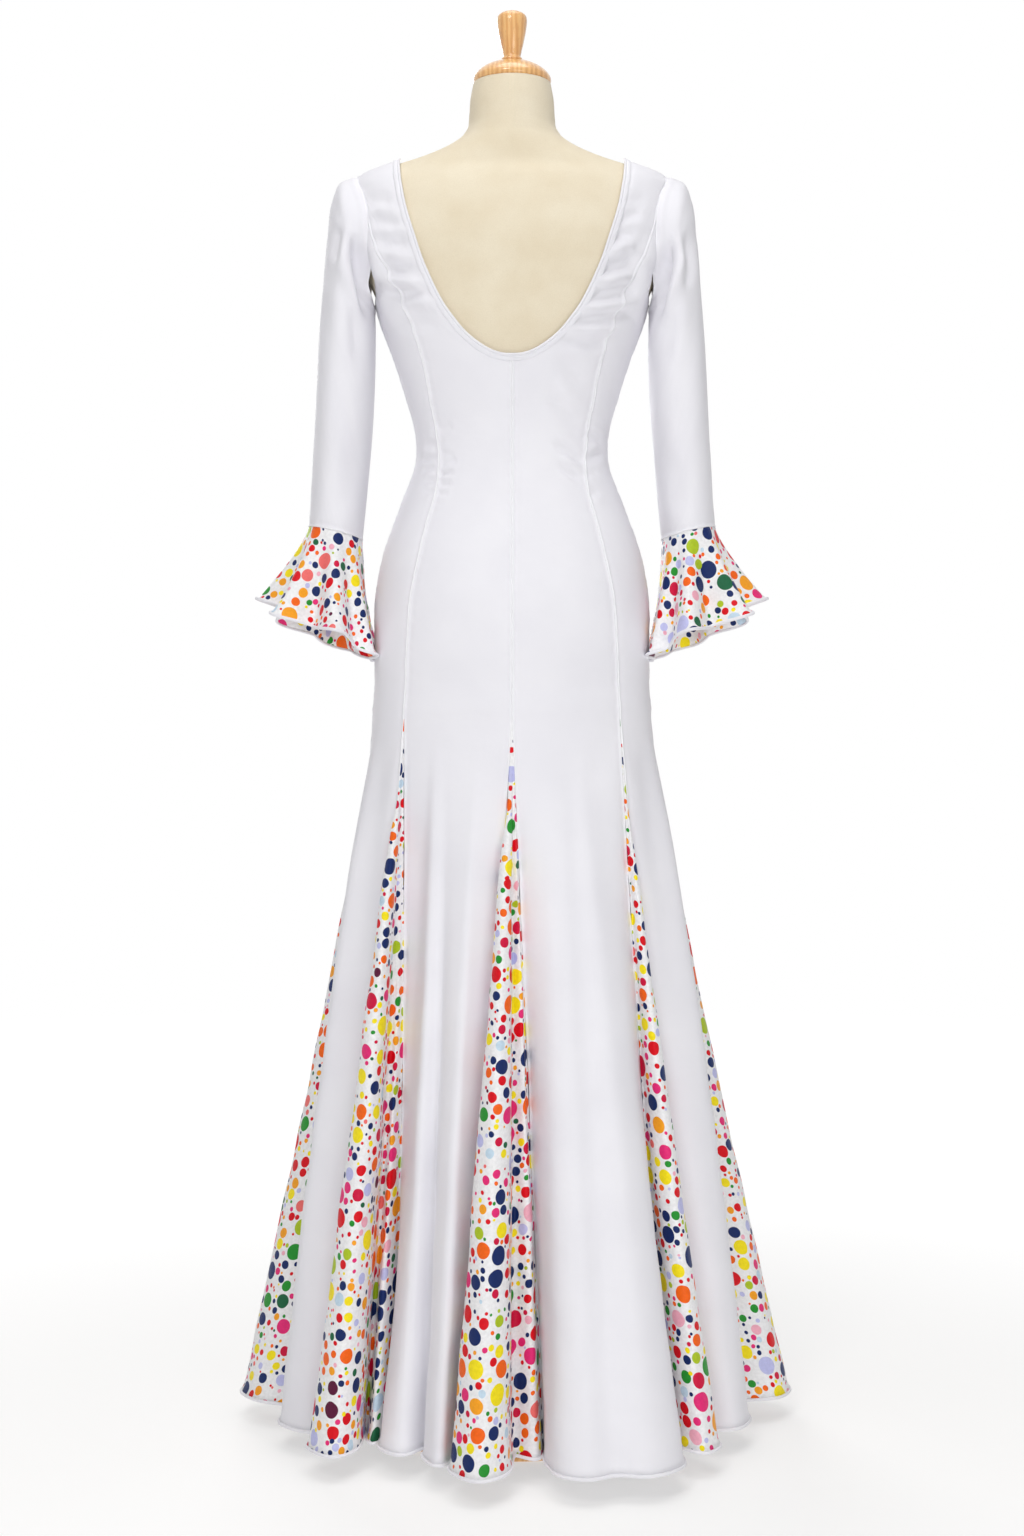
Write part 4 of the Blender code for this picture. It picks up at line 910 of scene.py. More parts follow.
def shell(name, points, normals, cloth, around=False):
    """A thin closed shell: the grid, the grid moved in by the cloth, and the rims."""
    rows, columns = points.shape[:2]
    count = rows * columns
    outside = points.reshape(-1, 3)
    inside = outside - normals.reshape(-1, 3) * CLOTH
    faces = grid_faces(rows, columns, around)
    rims = []
    for loop in edge_loop(rows, columns, around):
        after = np.roll(loop, -1)
        rims.append(np.stack([after, loop, loop + count, after + count], axis=1))
    quads = np.concatenate([faces, faces[:, ::-1] + count] + rims)
    a, b, c = (outside[faces[:, i]] for i in (0, 1, 2))
    facing = np.sum(np.cross(b - a, c - a) * normals.reshape(-1, 3)[faces[:, 0]])
    if facing < 0:
        quads = quads[:, ::-1]
    places = cloth.reshape(-1, 3)
    return mesh_object(name, np.concatenate([outside, inside]), quads,
                       np.concatenate([places, places]))


def tube(name, line, normals, reach, rise, around=False, sides=10):
    """A soft round roll along a line, oval across the cloth's normal and the height."""
    turns = np.linspace(0, 2 * math.pi, sides, endpoint=False)
    up = np.array([0.0, 0.0, 1.0])
    rings = (line[:, None] + np.cos(turns)[None, :, None] * normals[:, None] * reach
             + np.sin(turns)[None, :, None] * up * rise)
    count = len(line)
    index = np.arange(count * sides).reshape(count, sides)
    after = np.roll(index, -1, axis=1)
    low, low_after = index[:-1], after[:-1]
    high, high_after = index[1:], after[1:]
    if around:
        low, low_after = index, after
        high, high_after = np.roll(index, -1, axis=0), np.roll(after, -1, axis=0)
    quads = np.stack([low, high, high_after, low_after], axis=-1).reshape(-1, 4)
    along = arc_lengths(line[:, None], 0)[:, 0]
    cloth = np.zeros((count, sides, 3))
    cloth[..., 0] = along[:, None]
    cloth[..., 1] = turns[None] * rise
    if not around:
        ends = [index[0, [i, i + 1, -2 - i, -1 - i]] for i in range(sides // 2 - 1)]
        ends += [index[-1, [-1 - i, -2 - i, i + 1, i]] for i in range(sides // 2 - 1)]
        quads = np.concatenate([quads, np.array(ends)])
    middle = rings.mean(axis=1, keepdims=True)
    quads = facing_out(rings.reshape(-1, 3), quads, (rings - middle).reshape(-1, 3))
    return mesh_object(name, rings.reshape(-1, 3), quads, cloth.reshape(-1, 3))


AXIS_RADIUS = 0.00002    # of the small open ring left at the axis of a turned piece


def turned(name, profile, sides=96, split=6):
    """A turned piece from its profile of radius and height."""
    rows = [(0.0, profile[0][1])] + list(profile) + [(0.0, profile[-1][1])]
    rows = np.array(rows)
    runs = np.linalg.norm(np.diff(rows, axis=0), axis=1)
    knots = np.concatenate([[0], np.cumsum(runs)])
    at = np.concatenate([np.linspace(a, b, split, endpoint=False)
                         for a, b in zip(knots[:-1], knots[1:])] + [knots[-1:]])
    radius = np.maximum(smooth_read(knots, rows[:, 0], at), AXIS_RADIUS)
    height = np.clip(smooth_read(knots, rows[:, 1], at), rows[:, 1].min(), rows[:, 1].max())
    turns = np.linspace(0, 2 * math.pi, sides, endpoint=False)
    points = np.stack([radius[:, None] * np.cos(turns), radius[:, None] * np.sin(turns),
                       np.repeat(height[:, None], sides, axis=1)], axis=-1)
    quads = grid_faces(len(at), sides, True)
    return mesh_object(name, points.reshape(-1, 3), quads)


# ---------------------------------------------------------------- cloth pieces

SEEDS = {name: 11 + 7 * i for i, name in enumerate(PIECES)}
HEM_ROLL = 0.0017        # half the thickness of the rolled hems
HEM_CURL = 0.0020        # how far a hem turns outwards
HEM_CURL_HEIGHT = 0.010  # the lowest part of the skirt, which turns outwards
DOT_SHIFT = 0.37         # the print of each piece starts somewhere else on the cloth
DOT_SHIFT_UP = 0.61      # how much of that shift there is along the piece
SEAM_HIGHLIGHT = 0.001        # the greatest strength of the painted highlight along a seam
# how far from the seam the painted highlight is strongest, and how wide it is
SEAM_HIGHLIGHT_AT, SEAM_HIGHLIGHT_WIDTH = 0.0006, 0.0008
PLACKET_END = 0.02       # the placket's stitches end this far above the godets
SLEEVE_SEED, FLOUNCE_SEED, TORSO_SEED = 301, 401, 77


def painted_seam_highlight(distance):
    """A painted highlight along a seam: how strongly each point is lightened, strongest just beside
    the seam.
    """
    return SEAM_HIGHLIGHT * bump(distance - SEAM_HIGHLIGHT_AT, SEAM_HIGHLIGHT_WIDTH)


def cloth_places(points, seed):
    """Where each point lies on the flat cloth, in metres, and how strongly the painted seam highlight
    lightens it.
    """
    across = arc_lengths(points, 1)
    distance_in, distance_out = across.copy(), across[:, -1:] - across
    across -= across[:, across.shape[1] // 2][:, None]
    along = arc_lengths(points, 0)
    along = np.repeat(along[:, along.shape[1] // 2][:, None], points.shape[1], axis=1)
    shift = seed * DOT_SHIFT
    edge = np.minimum(distance_in, distance_out)
    # The third value is a painted highlight along both seams of the piece, which the white satin uses
    # to lighten its colour.
    return np.stack([across + shift, along + shift * DOT_SHIFT_UP, painted_seam_highlight(edge)], axis=-1)


def skirt_share(points):
    """0 at the hips and above, 1 at the hem."""
    return np.clip((APEX_HEIGHT - points[..., 2]) / (APEX_HEIGHT - HEM_HEIGHT), 0, 1)


def hem_curl(points):
    share = (HEM_HEIGHT + HEM_CURL_HEIGHT - points[..., 2]) / HEM_CURL_HEIGHT
    return HEM_CURL * np.clip(share, 0, 1) ** 2


def dress_panel(name):
    """A white panel in one piece from shoulder to hem."""
    points = panel_grid(name)
    normals = grid_normals(points, False)
    seed = SEEDS[name]
    cloth = cloth_places(points, seed)
    across, along = arc_lengths(points, 1), arc_lengths(points, 0)
    down = skirt_share(points)
    moved = np.maximum(crease_relief(points, normals), -FORM_GAP)
    moved += seam_relief(across, along, seed)
    moved += seam_relief(across[:, -1:] - across, along, seed + 1)
    if name == "center_back_right":
        # The zip's placket is stitched down a finger's breadth from the centre back.
        stitched = points[..., 2] > APEX_HEIGHT + PLACKET_END
        moved += raised(PLACKET_STITCHES, across[:, -1:] - across) * stitched
    moved += ripple(across, along, seed + 2) * lerp(0.00022, 0.0011, smooth_step(down * 2))
    moved += hem_curl(points)
    points = points + normals * moved[..., None]
    return points, normals, cloth


def godet(name):
    """A flared gore of dotted satin, set into a seam below the hips."""
    points = skirt_grid(name, GODET_COLUMNS, lowest_level=0.004)
    normals = grid_normals(points, False)
    seed = SEEDS[name]
    cloth = cloth_places(points, seed)
    across, along = arc_lengths(points, 1), arc_lengths(points, 0)
    width = across[:, -1:]
    open_enough = smooth_step(width / 0.03)
    moved = (seam_relief(across, along, seed) + seam_relief(width - across, along, seed + 1))
    moved *= open_enough
    moved += ripple(across, along, seed + 2, longest=0.10) * 0.0009 * open_enough
    moved += hem_curl(points)
    points = points + normals * moved[..., None]
    return points, normals, cloth


def sleeve(right):
    points = sleeve_grid()
    normals = grid_normals(points, True)
    if right:
        points, normals = points * FLIP, normals * FLIP
    seed = SLEEVE_SEED + right
    along = arc_lengths(points, 0)
    across = arc_lengths(points, 1)
    edge = np.minimum(along, along[-1:] - along)
    # The third value paints a highlight along the armhole seam and the seam to the flounce.
    cloth = np.stack([across + seed, along, painted_seam_highlight(edge)], axis=-1)
    moved = crease_relief(points, normals)
    # The cap stands up softly from the armhole seam, and the cloth is gathered at the wrist.
    moved += raised(SLEEVE_CAP, along)
    left_over = along[-1:] - along
    moved += seam_relief(left_over, across, seed)
    ease = smooth_step(along / 0.05) * smooth_step(left_over / 0.04)
    moved += ripple(across * 0.8, along * 0.35, seed + 2, longest=0.12) * 0.0010 * ease
    points = points + normals * moved[..., None]
    return points, normals, cloth


def flounce(right):
    points = flounce_grid()
    normals = grid_normals(points, True)
    if right:
        points, normals = points * FLIP, normals * FLIP
    seed = FLOUNCE_SEED + right
    across, along = arc_lengths(points, 1), arc_lengths(points, 0)
    level = along / along[-1:]
    # The flounce is cut as a ring, so its rows lie on circles about one centre.
    short, full = across[0, -1], across[-1, -1]
    depth = float(along[-1].mean())
    sweep = (full - short) / depth
    reach = short / sweep + along
    turn = across / np.maximum(across[:, -1:], 1e-9) * sweep
    cloth = np.stack([reach * np.cos(turn) + seed * DOT_SHIFT, reach * np.sin(turn),
                      np.zeros_like(along)], axis=-1)
    moved = seam_relief(along, across, seed) * 0.4
    moved += ripple(across, along, seed + 2, longest=0.06, shortest=0.02) * 0.0007 * level
    moved += HEM_CURL * np.clip((level - 0.93) / 0.07, 0, 1) ** 2
    points = points + normals * moved[..., None]
    return points, normals, cloth


def roll_for(name, points, normals, row, around=False):
    """The rolled hem along one row of a piece."""
    line = points[row] - normals[row] * (CLOTH / 2)
    side = normals[row] * np.array([1, 1, 0])
    across = arc_lengths(line[None], 1)[0]
    thick = 1 + 0.08 * np.sin(across * 2 * math.pi / 0.017) * np.sin(across * 31)
    return tube(name, line, unit(side) * thick[:, None], HEM_ROLL, HEM_ROLL * 1.15, around)


# The binding, across from the neck edge: distance over the cloth and height above it.
BINDING_PROFILE = (
    (0.0002, -0.0016), (-0.0004, -0.0006), (-0.0005, 0.0006), (0.0000, 0.0016),
    (0.0010, 0.0021), (0.0020, 0.0017), (0.0025, 0.0009), (0.0031, 0.0009),
    (0.0040, 0.0013), (0.0056, 0.0014), (0.0070, 0.0012), (0.0077, 0.0008),
    (0.0082, 0.0004), (0.0086, -0.0002),
)
BINDING_STEPS = 105      # along each quarter of the neckline


def binding():
    """A folded strip round the neck, with a corded edge and soft puckers."""
    share = np.linspace(0, 1, BINDING_STEPS + 1)
    profile = np.array(BINDING_PROFILE)
    t = np.linspace(0, len(profile) - 1, 3 * (len(profile) - 1) + 1)
    knots = np.arange(len(profile))
    outwards = smooth_read(knots, profile[:, 0], t)
    height = smooth_read(knots, profile[:, 1], t)
    quarters = []
    for side in (1, -1):
        rows = []
        for out, lift in zip(outwards, height):
            marks = neckline(share, side, float(out))
            points, normals = cloth_on_body(marks[:, 0], marks[:, 1])
            low_at_top = 1 - 0.6 * bump(share - 1, 0.07)[:, None]
            rows.append(points + normals * lift * low_at_top)
        quarters.append(np.array(rows))
    back, front = quarters
    around = np.concatenate([
        back[:, :-1], front[:, ::-1][:, :-1],
        (front * FLIP)[:, :-1], (back * FLIP)[:, ::-1][:, :-1]], axis=1)
    # The shoulder ends of the two quarters meet on the ridge of the shoulder.
    normals = grid_normals(np.swapaxes(around, 0, 1)[:, ::-1], False)
    normals = np.swapaxes(normals[:, ::-1], 0, 1)
    along = arc_lengths(around, 1)
    pucker = sum(np.sin(2 * math.pi * along / length + turn)
                 for length, turn in ((0.0074, 0.3), (0.0113, 2.1), (0.0171, 4.0)))
    on_band = bump(outwards - 0.0055, 0.0025)[:, None]
    outside = np.sign(np.sum(normals * (around - around.mean(axis=(0, 1))) * [1, 1, 0]))
    around = around + normals * (outside * 0.00018 * pucker * on_band)[..., None]
    return around, along


# ---------------------------------------------------------------- materials

class Shader:
    """A material under construction: nodes are added and linked by short calls."""

    def __init__(self, name):
        self.material = bpy.data.materials.new(name)
        self.material.use_nodes = True
        self.tree = self.material.node_tree
        self.surface = self.tree.nodes["Principled BSDF"]

    def add(self, kind, inputs=(), **settings):
        node = self.tree.nodes.new("ShaderNode" + kind)
        for key, value in settings.items():
            setattr(node, key, value)
        for key, value in dict(inputs).items():
            self.put(node.inputs[key], value)
        return node

    def put(self, socket, value):
        if isinstance(value, bpy.types.NodeSocket):
            self.tree.links.new(value, socket)
        else:
            socket.default_value = value

    def math(self, operation, *values, clamp=False):
        node = self.add("Math", operation=operation, use_clamp=clamp)
        for socket, value in zip(node.inputs, values):
            self.put(socket, value)
        return node.outputs[0]

    def vector(self, operation, a, b):
        node = self.add("VectorMath", operation=operation)
        self.put(node.inputs[0], a)
        if operation == "SCALE":
            self.put(node.inputs["Scale"], b)
        else:
            self.put(node.inputs[1], b)
        return node.outputs[0]

    def smooth(self, value, low, high, start=0.0, end=1.0):
        node = self.add("MapRange", interpolation_type="SMOOTHSTEP")
        for key, number in zip(("Value", "From Min", "From Max", "To Min", "To Max"),
                               (value, low, high, start, end)):
            self.put(node.inputs[key], number)
        return node.outputs["Result"]

    def noise(self, place, size, detail=2.0, roughness=0.5):
        """Noise whose features are about size metres across."""
        node = self.add("TexNoise", {"Vector": place, "Scale": 1 / size, "Detail": detail,
                                     "Roughness": roughness})
        return node.outputs["Fac"]

    def mix(self, share, a, b):
        node = self.add("Mix", data_type="RGBA")
        self.put(node.inputs[0], share)
        self.put(node.inputs[6], a)
        self.put(node.inputs[7], b)
        return node.outputs[2]

    def ramp(self, value, stops, interpolation="LINEAR"):
        node = self.add("ValToRGB", {"Fac": value})
        ramp = node.color_ramp
        ramp.interpolation = interpolation
        while len(ramp.elements) < len(stops):
            ramp.elements.new(0.5)
        for element, (position, color) in zip(ramp.elements, stops):
            element.position = position
            element.color = (*color, 1.0)
        return node.outputs["Color"]

    def bump(self, height, distance, strength=1.0, after=None):
        node = self.add("Bump", {"Height": height, "Distance": distance, "Strength": strength})
        if after is not None:
            self.put(node.inputs["Normal"], after)
        return node.outputs["Normal"]

    def finish(self, **values):
        for key, value in values.items():
            self.put(self.surface.inputs[key.replace("_", " ")], value)
        return self.material


THREAD = 0.00034         # spacing of the satin's threads


def satin_relief(shader, place):
    """The fine floats of a satin weave, slightly uneven, over a faint cockle."""
    parts = shader.add("SeparateXYZ", {"Vector": place})
    u, v = parts.outputs["X"], parts.outputs["Y"]
    row = shader.math("SINE", shader.math("MULTIPLY", v, 2 * math.pi / THREAD))
    float_line = shader.math("ADD", shader.math("MULTIPLY", u, 2 * math.pi / (THREAD * 5)),
                             shader.math("MULTIPLY", v, 2 * math.pi / (THREAD * 2.5)))
    woven = shader.math("MULTIPLY", row, shader.math("SINE", float_line))
    slub = shader.noise(shader.vector("MULTIPLY", place, (1.0, 0.12, 1.0)), 0.0012, 3.0)
    fine = shader.math("ADD", shader.math("MULTIPLY", woven, 0.5), slub)
    cockle = shader.noise(place, 0.016, 2.0)
    normal = shader.bump(cockle, 0.00035)
    return shader.bump(fine, 0.00006, 0.7, normal)


def white_satin():
    shader = Shader("white_satin")
    place = shader.add("Attribute", attribute_name="cloth_place").outputs["Vector"]
    shade = shader.ramp(shader.noise(place, 0.09, 3.0),
                        ((0.3, (0.815, 0.806, 0.850)), (0.7, (0.855, 0.846, 0.885))))
    # Painted highlight: the third value of cloth_place lightens the base colour to near white along
    # the seams.
    seam = shader.add("SeparateXYZ", {"Vector": place}).outputs["Z"]
    seam = shader.math("DIVIDE", seam, SEAM_HIGHLIGHT, clamp=True)
    shade = shader.mix(shader.math("MULTIPLY", seam, 0.75), shade, (0.95, 0.95, 0.97, 1.0))
    rough = shader.smooth(shader.noise(place, 0.02, 3.0), 0.3, 0.7, 0.58, 0.68)
    return shader.finish(Base_Color=shade, Roughness=rough, Specular_IOR_Level=0.18,
                         Sheen_Weight=0.10, Sheen_Roughness=0.45,
                         Normal=satin_relief(shader, place))


# The colours of the dots, each with its share of them.
DOT_COLORS = (
    (0.17, (0.70, 0.002, 0.010)), (0.05, (0.62, 0.006, 0.05)), (0.09, (0.78, 0.025, 0.18)),
    (0.11, (0.90, 0.13, 0.006)), (0.07, (0.92, 0.36, 0.015)), (0.11, (0.93, 0.76, 0.010)),
    (0.03, (0.42, 0.55, 0.020)), (0.05, (0.020, 0.28, 0.030)), (0.02, (0.012, 0.12, 0.05)),
    (0.17, (0.007, 0.022, 0.115)), (0.05, (0.52, 0.53, 0.82)), (0.03, (0.88, 0.42, 0.52)),
    (0.02, (0.86, 0.16, 0.15)), (0.02, (0.55, 0.70, 0.82)), (0.01, (0.10, 0.008, 0.04)),
)

# Three sizes of dots: the spacing of their places, how loosely they are strewn, and
# their least and greatest radius.
DotSize = namedtuple("DotSize", "spacing loose least most")
LARGE = DotSize(0.0300, 0.76, 0.0060, 0.0126)
MEDIUM = DotSize(0.0180, 0.88, 0.0044, 0.0082)
TINY = DotSize(0.0102, 0.90, 0.0019, 0.0040)
DOT_CLEAR = 0.0011       # white between two dots
DOT_RIM = 0.00022        # softness of a dot's printed edge


def dot_layer(shader, place, size):
    """One size of dots at a place: distance to the nearest, its radius, centre, chances."""
    settings = {"Vector": place, "Scale": 1 / size.spacing, "Randomness": size.loose}
    near = shader.add("TexVoronoi", settings, voronoi_dimensions="2D", feature="F1")
    room = shader.add("TexVoronoi", settings, voronoi_dimensions="2D",
                      feature="N_SPHERE_RADIUS")
    chances = shader.add("SeparateColor", {"Color": near.outputs["Color"]})
    centre = near.outputs["Position"]
    crowd = shader.smooth(shader.noise(centre, 0.11, 1.0), 0.36, 0.60, 0.70, 1.0)
    wish = shader.math("POWER", chances.outputs["Green"], 0.9)
    wish = shader.math("MULTIPLY_ADD", wish, size.most - size.least, size.least)
    wish = shader.math("MULTIPLY", wish, crowd)
    room = shader.math("MULTIPLY", room.outputs["Radius"], size.spacing * 0.95)
    radius = shader.math("MINIMUM", wish, room)
    distance = shader.math("MULTIPLY", near.outputs["Distance"], size.spacing)
    return distance, radius, centre, chances.outputs["Red"]


def dots_between(shader, place, size, larger):
    """A size of dots that only fill the room the larger ones leave."""
    distance, radius, centre, chance = dot_layer(shader, place, size)
    for layer in larger:
        away, reach = layer(centre)
        free = shader.math("SUBTRACT", shader.math("SUBTRACT", away, reach), DOT_CLEAR)
        radius = shader.math("MINIMUM", radius, free)
    shown = shader.math("GREATER_THAN", radius, size.least * 0.75)
    return distance, shader.math("MULTIPLY", radius, shown), centre, chance


def dot_print(shader, place):
    """Colour and coverage of the dots at a place."""

    def large_at(where):
        return dot_layer(shader, where, LARGE)[:2]

    def medium_at(where):
        return dots_between(shader, where, MEDIUM, [large_at])[:2]

    layers = (
        dot_layer(shader, place, LARGE),
        dots_between(shader, place, MEDIUM, [large_at]),
        dots_between(shader, place, TINY, [large_at, medium_at]),
    )
    total, stops = 0.0, []
    for share, color in DOT_COLORS:
        stops.append((total, color))
        total += share
    color, cover = (0.87, 0.865, 0.875, 1.0), None
    for distance, radius, _, chance in layers:
        inside = shader.smooth(shader.math("SUBTRACT", radius, distance),
                               -DOT_RIM, DOT_RIM)
        inside = shader.math("MULTIPLY", inside, shader.math("GREATER_THAN", radius, 0.0002))
        ink = shader.ramp(chance, stops, "CONSTANT")
        color = shader.mix(inside, color, ink)
        cover = inside if cover is None else shader.math("MAXIMUM", cover, inside)
    return color, cover


def dotted_satin():
    shader = Shader("dotted_satin")
    place = shader.add("Attribute", attribute_name="cloth_place").outputs["Vector"]
    # The print is slightly uneven, so the dots are soft ovals rather than true circles.
    drift = shader.add("TexNoise", {"Vector": place, "Scale": 38.0, "Detail": 1.0})
    drift = shader.vector("SUBTRACT", drift.outputs["Color"], (0.5, 0.5, 0.5))
    printed = shader.vector("ADD", place, shader.vector("SCALE", drift, 0.0032))
    color, cover = dot_print(shader, printed)
    mottle = shader.smooth(shader.noise(place, 0.004, 3.0), 0.3, 0.7, 0.94, 1.04)
    tone = shader.add("HueSaturation", {"Color": color, "Value": mottle})
    rough = shader.math("MULTIPLY_ADD", cover, -0.06, 0.50)
    return shader.finish(Base_Color=tone.outputs["Color"], Roughness=rough,
                         Specular_IOR_Level=0.14,
                         Normal=satin_relief(shader, place))


def linen():
    """Fine plain-woven cream linen, a little mottled, over firm padding."""
    shader = Shader("linen")
    place = shader.add("TexCoord").outputs["Object"]
    blotch = shader.noise(place, 0.05, 4.0)
    grain = shader.noise(place, 0.0011, 3.0, 0.7)
    color = shader.ramp(blotch, ((0.3, (0.830, 0.725, 0.540)), (0.7, (0.890, 0.800, 0.625))))
    color = shader.mix(shader.smooth(grain, 0.35, 0.75, 0.0, 0.20), color,
                       (0.62, 0.53, 0.37, 1.0))
    parts = shader.add("SeparateXYZ", {"Vector": place})
    pitch = 2 * math.pi / 0.0010
    warp = shader.math("SINE", shader.math("MULTIPLY", parts.outputs["X"], pitch))
    weft = shader.math("SINE", shader.math("MULTIPLY", parts.outputs["Z"], pitch))
    woven = shader.math("ADD", shader.math("MULTIPLY", warp, weft), grain)
    return shader.finish(Base_Color=color, Roughness=0.88, Specular_IOR_Level=0.2,
                         Sheen_Weight=0.15, Normal=shader.bump(woven, 0.00012, 0.8))


def beech():
    """Varnished beech with fine upright grain and small flecks."""
    shader = Shader("beech")
    place = shader.add("TexCoord").outputs["Object"]
    stretched = shader.vector("MULTIPLY", place, (1.0, 1.0, 0.09))
    warp = shader.noise(stretched, 0.02, 3.0)
    rings = shader.add("TexWave", {"Vector": stretched, "Scale": 55.0, "Distortion": 5.0,
                                   "Detail": 3.0, "Detail Scale": 2.0},
                       wave_type="BANDS", bands_direction="X")
    fleck = shader.noise(shader.vector("MULTIPLY", place, (1.0, 1.0, 0.15)), 0.0012, 2.0)
    color = shader.ramp(shader.math("MULTIPLY_ADD", rings.outputs["Fac"], 0.55,
                                    shader.math("MULTIPLY", warp, 0.45)),
                        ((0.15, (0.66, 0.31, 0.085)), (0.55, (0.80, 0.43, 0.14)),
                         (0.9, (0.88, 0.53, 0.20))))
    color = shader.mix(shader.smooth(fleck, 0.60, 0.70, 0.0, 0.28), color,
                       (0.36, 0.15, 0.045, 1.0))
    return shader.finish(Base_Color=color, Roughness=0.34, Coat_Weight=0.7,
                         Coat_Roughness=0.10, Normal=shader.bump(fleck, 0.00008, 0.5))


def steel():
    """A drawn steel tube with faint lines along it."""
    shader = Shader("steel")
    place = shader.add("TexCoord").outputs["Object"]
    drawn = shader.noise(shader.vector("MULTIPLY", place, (1.0, 1.0, 0.01)), 0.0006, 2.0)
    rough = shader.smooth(drawn, 0.3, 0.7, 0.26, 0.40)
    return shader.finish(Base_Color=(0.56, 0.56, 0.57, 1.0), Metallic=1.0, Roughness=rough,
                         Normal=shader.bump(drawn, 0.00002, 0.5))


# ---------------------------------------------------------------- the object

def stands_for(piece, node, material):
    piece.data.materials.append(material)
    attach(piece, "root")
    if node is not None:
        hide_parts(node)
    return piece


def build_dress(white, dotted):
    for name in PIECES:
        printed = is_godet(name)
        points, normals, cloth = godet(name) if printed else dress_panel(name)
        piece = shell(name + "_cloth", points, normals, cloth)
        stands_for(piece, name, dotted if printed else white)
        hem = roll_for(name + "_hem", points, normals, 0)
        stands_for(hem, None, white)
    for hand, right in (("left", False), ("right", True)):
        points, normals, cloth = sleeve(right)
        piece = shell(f"sleeve_{hand}_cloth", points, normals, cloth, around=True)
        stands_for(piece, "sleeve_" + hand, white)
        points, normals, cloth = flounce(right)
        piece = shell(f"flounce_{hand}_cloth", points, normals, cloth, around=True)
        stands_for(piece, "flounce_" + hand, dotted)
        hem = roll_for(f"flounce_{hand}_hem", points, normals, -1, around=True)
        stands_for(hem, None, white)
    build_binding(white)


def build_binding(white):
    points, along = binding()
    rows, columns = points.shape[:2]
    faces = grid_faces(rows + 1, columns, True) % (rows * columns)
    outwards = (points - points.mean(axis=0)).reshape(-1, 3)
    faces = facing_out(points.reshape(-1, 3), faces, outwards)
    across = arc_lengths(points, 0)
    cloth = np.stack([along, across, np.zeros_like(along)], axis=-1)
    piece = mesh_object("neck_binding_cloth", points.reshape(-1, 3), faces,
                        cloth.reshape(-1, 3))
    stands_for(piece, "neck_binding", white)


TORSO_COLUMNS, TORSO_ROWS = 132, 160
CAP_RING = 0.001         # size of the small open rings at the torso's top and underside


def build_torso(cloth):
    """The padded torso: smooth linen with a sewn line down its back and round its neck."""
    turns = np.linspace(0, 2 * math.pi, TORSO_COLUMNS, endpoint=False)
    heights = np.concatenate([[FORM_BOTTOM, FORM_BOTTOM + 0.002, FORM_BOTTOM + 0.006],
                              np.linspace(FORM_BOTTOM + 0.012, FORM_TOP, TORSO_ROWS)])
    points = body_at(turns[None, :], heights[:, None])
    normals = body_normal(turns[None, :], heights[:, None])
    points[0, :, :2] *= FORM_UNDERSIDE
    points[1, :, :2] *= 1 - (1 - FORM_UNDERSIDE) * 0.35
    seam = np.abs(points[..., 0])
    down = arc_lengths(points, 0)
    moved = (-0.0007 * bump(seam, 0.0010) + 0.0003 * bump(seam - 0.0030, 0.0018))
    moved *= smooth_step((FORM_TOP - heights[:, None]) / 0.004)
    above = heights[:, None] - FORM_NECK_SEAM + 0.003 * np.sin(turns) ** 2
    moved += -0.0009 * bump(above, 0.0012) + 0.0005 * bump(above - 0.0034, 0.0022)
    moved += ripple(points[..., 0] + points[..., 1], down, TORSO_SEED, longest=0.3) * 0.0002
    moved[:3] = 0
    points = points + normals * moved[..., None]
    under, over = (ring.mean(axis=0) + (ring - ring.mean(axis=0)) * CAP_RING
                   for ring in (points[0], points[-1]))
    grid = np.concatenate([under[None], points, over[None]])
    quads = grid_faces(len(grid), len(turns), True)
    piece = mesh_object("form_torso_linen", grid.reshape(-1, 3), quads)
    return stands_for(piece, "form_torso", cloth)


def build_stand(wood, metal):
    stands_for(turned("neck_cap_wood", NECK_CAP), "form_neck_cap", wood)
    stands_for(turned("finial_wood", FINIAL), "form_finial", wood)
    hub_top = BASE_THICKNESS + HUB_HEIGHT
    pole = ((POLE_RADIUS, hub_top + SEAM_GAP), (POLE_RADIUS, hub_top + 0.001),
            (POLE_RADIUS, FORM_BOTTOM - 0.001), (POLE_RADIUS, FORM_BOTTOM - SEAM_GAP))
    stands_for(turned("pole_tube", pole, 64, 2), "stand_pole", metal)
    base = ((BASE_RADIUS - 0.002, 0.0), (BASE_RADIUS, 0.002), (BASE_RADIUS, 0.013),
            (BASE_RADIUS - 0.0015, 0.0165), (BASE_RADIUS - 0.005, BASE_THICKNESS),
            (HUB_RADIUS + 0.004, BASE_THICKNESS), (HUB_RADIUS, BASE_THICKNESS + 0.004),
            (HUB_RADIUS - 0.002, hub_top - 0.002), (HUB_RADIUS - 0.004, hub_top))
    stands_for(turned("base_wood", base, 128, 3), "stand_base", wood)


# ---------------------------------------------------------------- floor, light, camera

FLOOR_RADIUS = 4.5
WALL_RADIUS = 7.0
WALL_TOP = 5.5
FLOOR_GLOW = 0.50        # near the dress
BARE_FLOOR = (0.45, 1.7)   # the floor goes from half to wholly glowing between these
FLOOR_WHITE = 1.04       # brightness of that glow
BACKDROP = 1.0           # brightness of the backdrop
AMBIENT = 0.19           # of the light from all round
CAMERA_DISTANCE = 2.68
CAMERA_HEIGHT = 0.782
CAMERA_LENS = 52.34


def turned_sheet(name, profile, sides=96):
    """An open surface of revolution, for the floor and the backdrop."""
    profile = np.array(profile)
    turns = np.linspace(0, 2 * math.pi, sides, endpoint=False)
    points = np.stack([profile[:, :1] * np.cos(turns), profile[:, :1] * np.sin(turns),
                       np.repeat(profile[:, 1:], sides, axis=1)], axis=-1)
    return mesh_object(name, points.reshape(-1, 3), grid_faces(len(profile), sides, True))


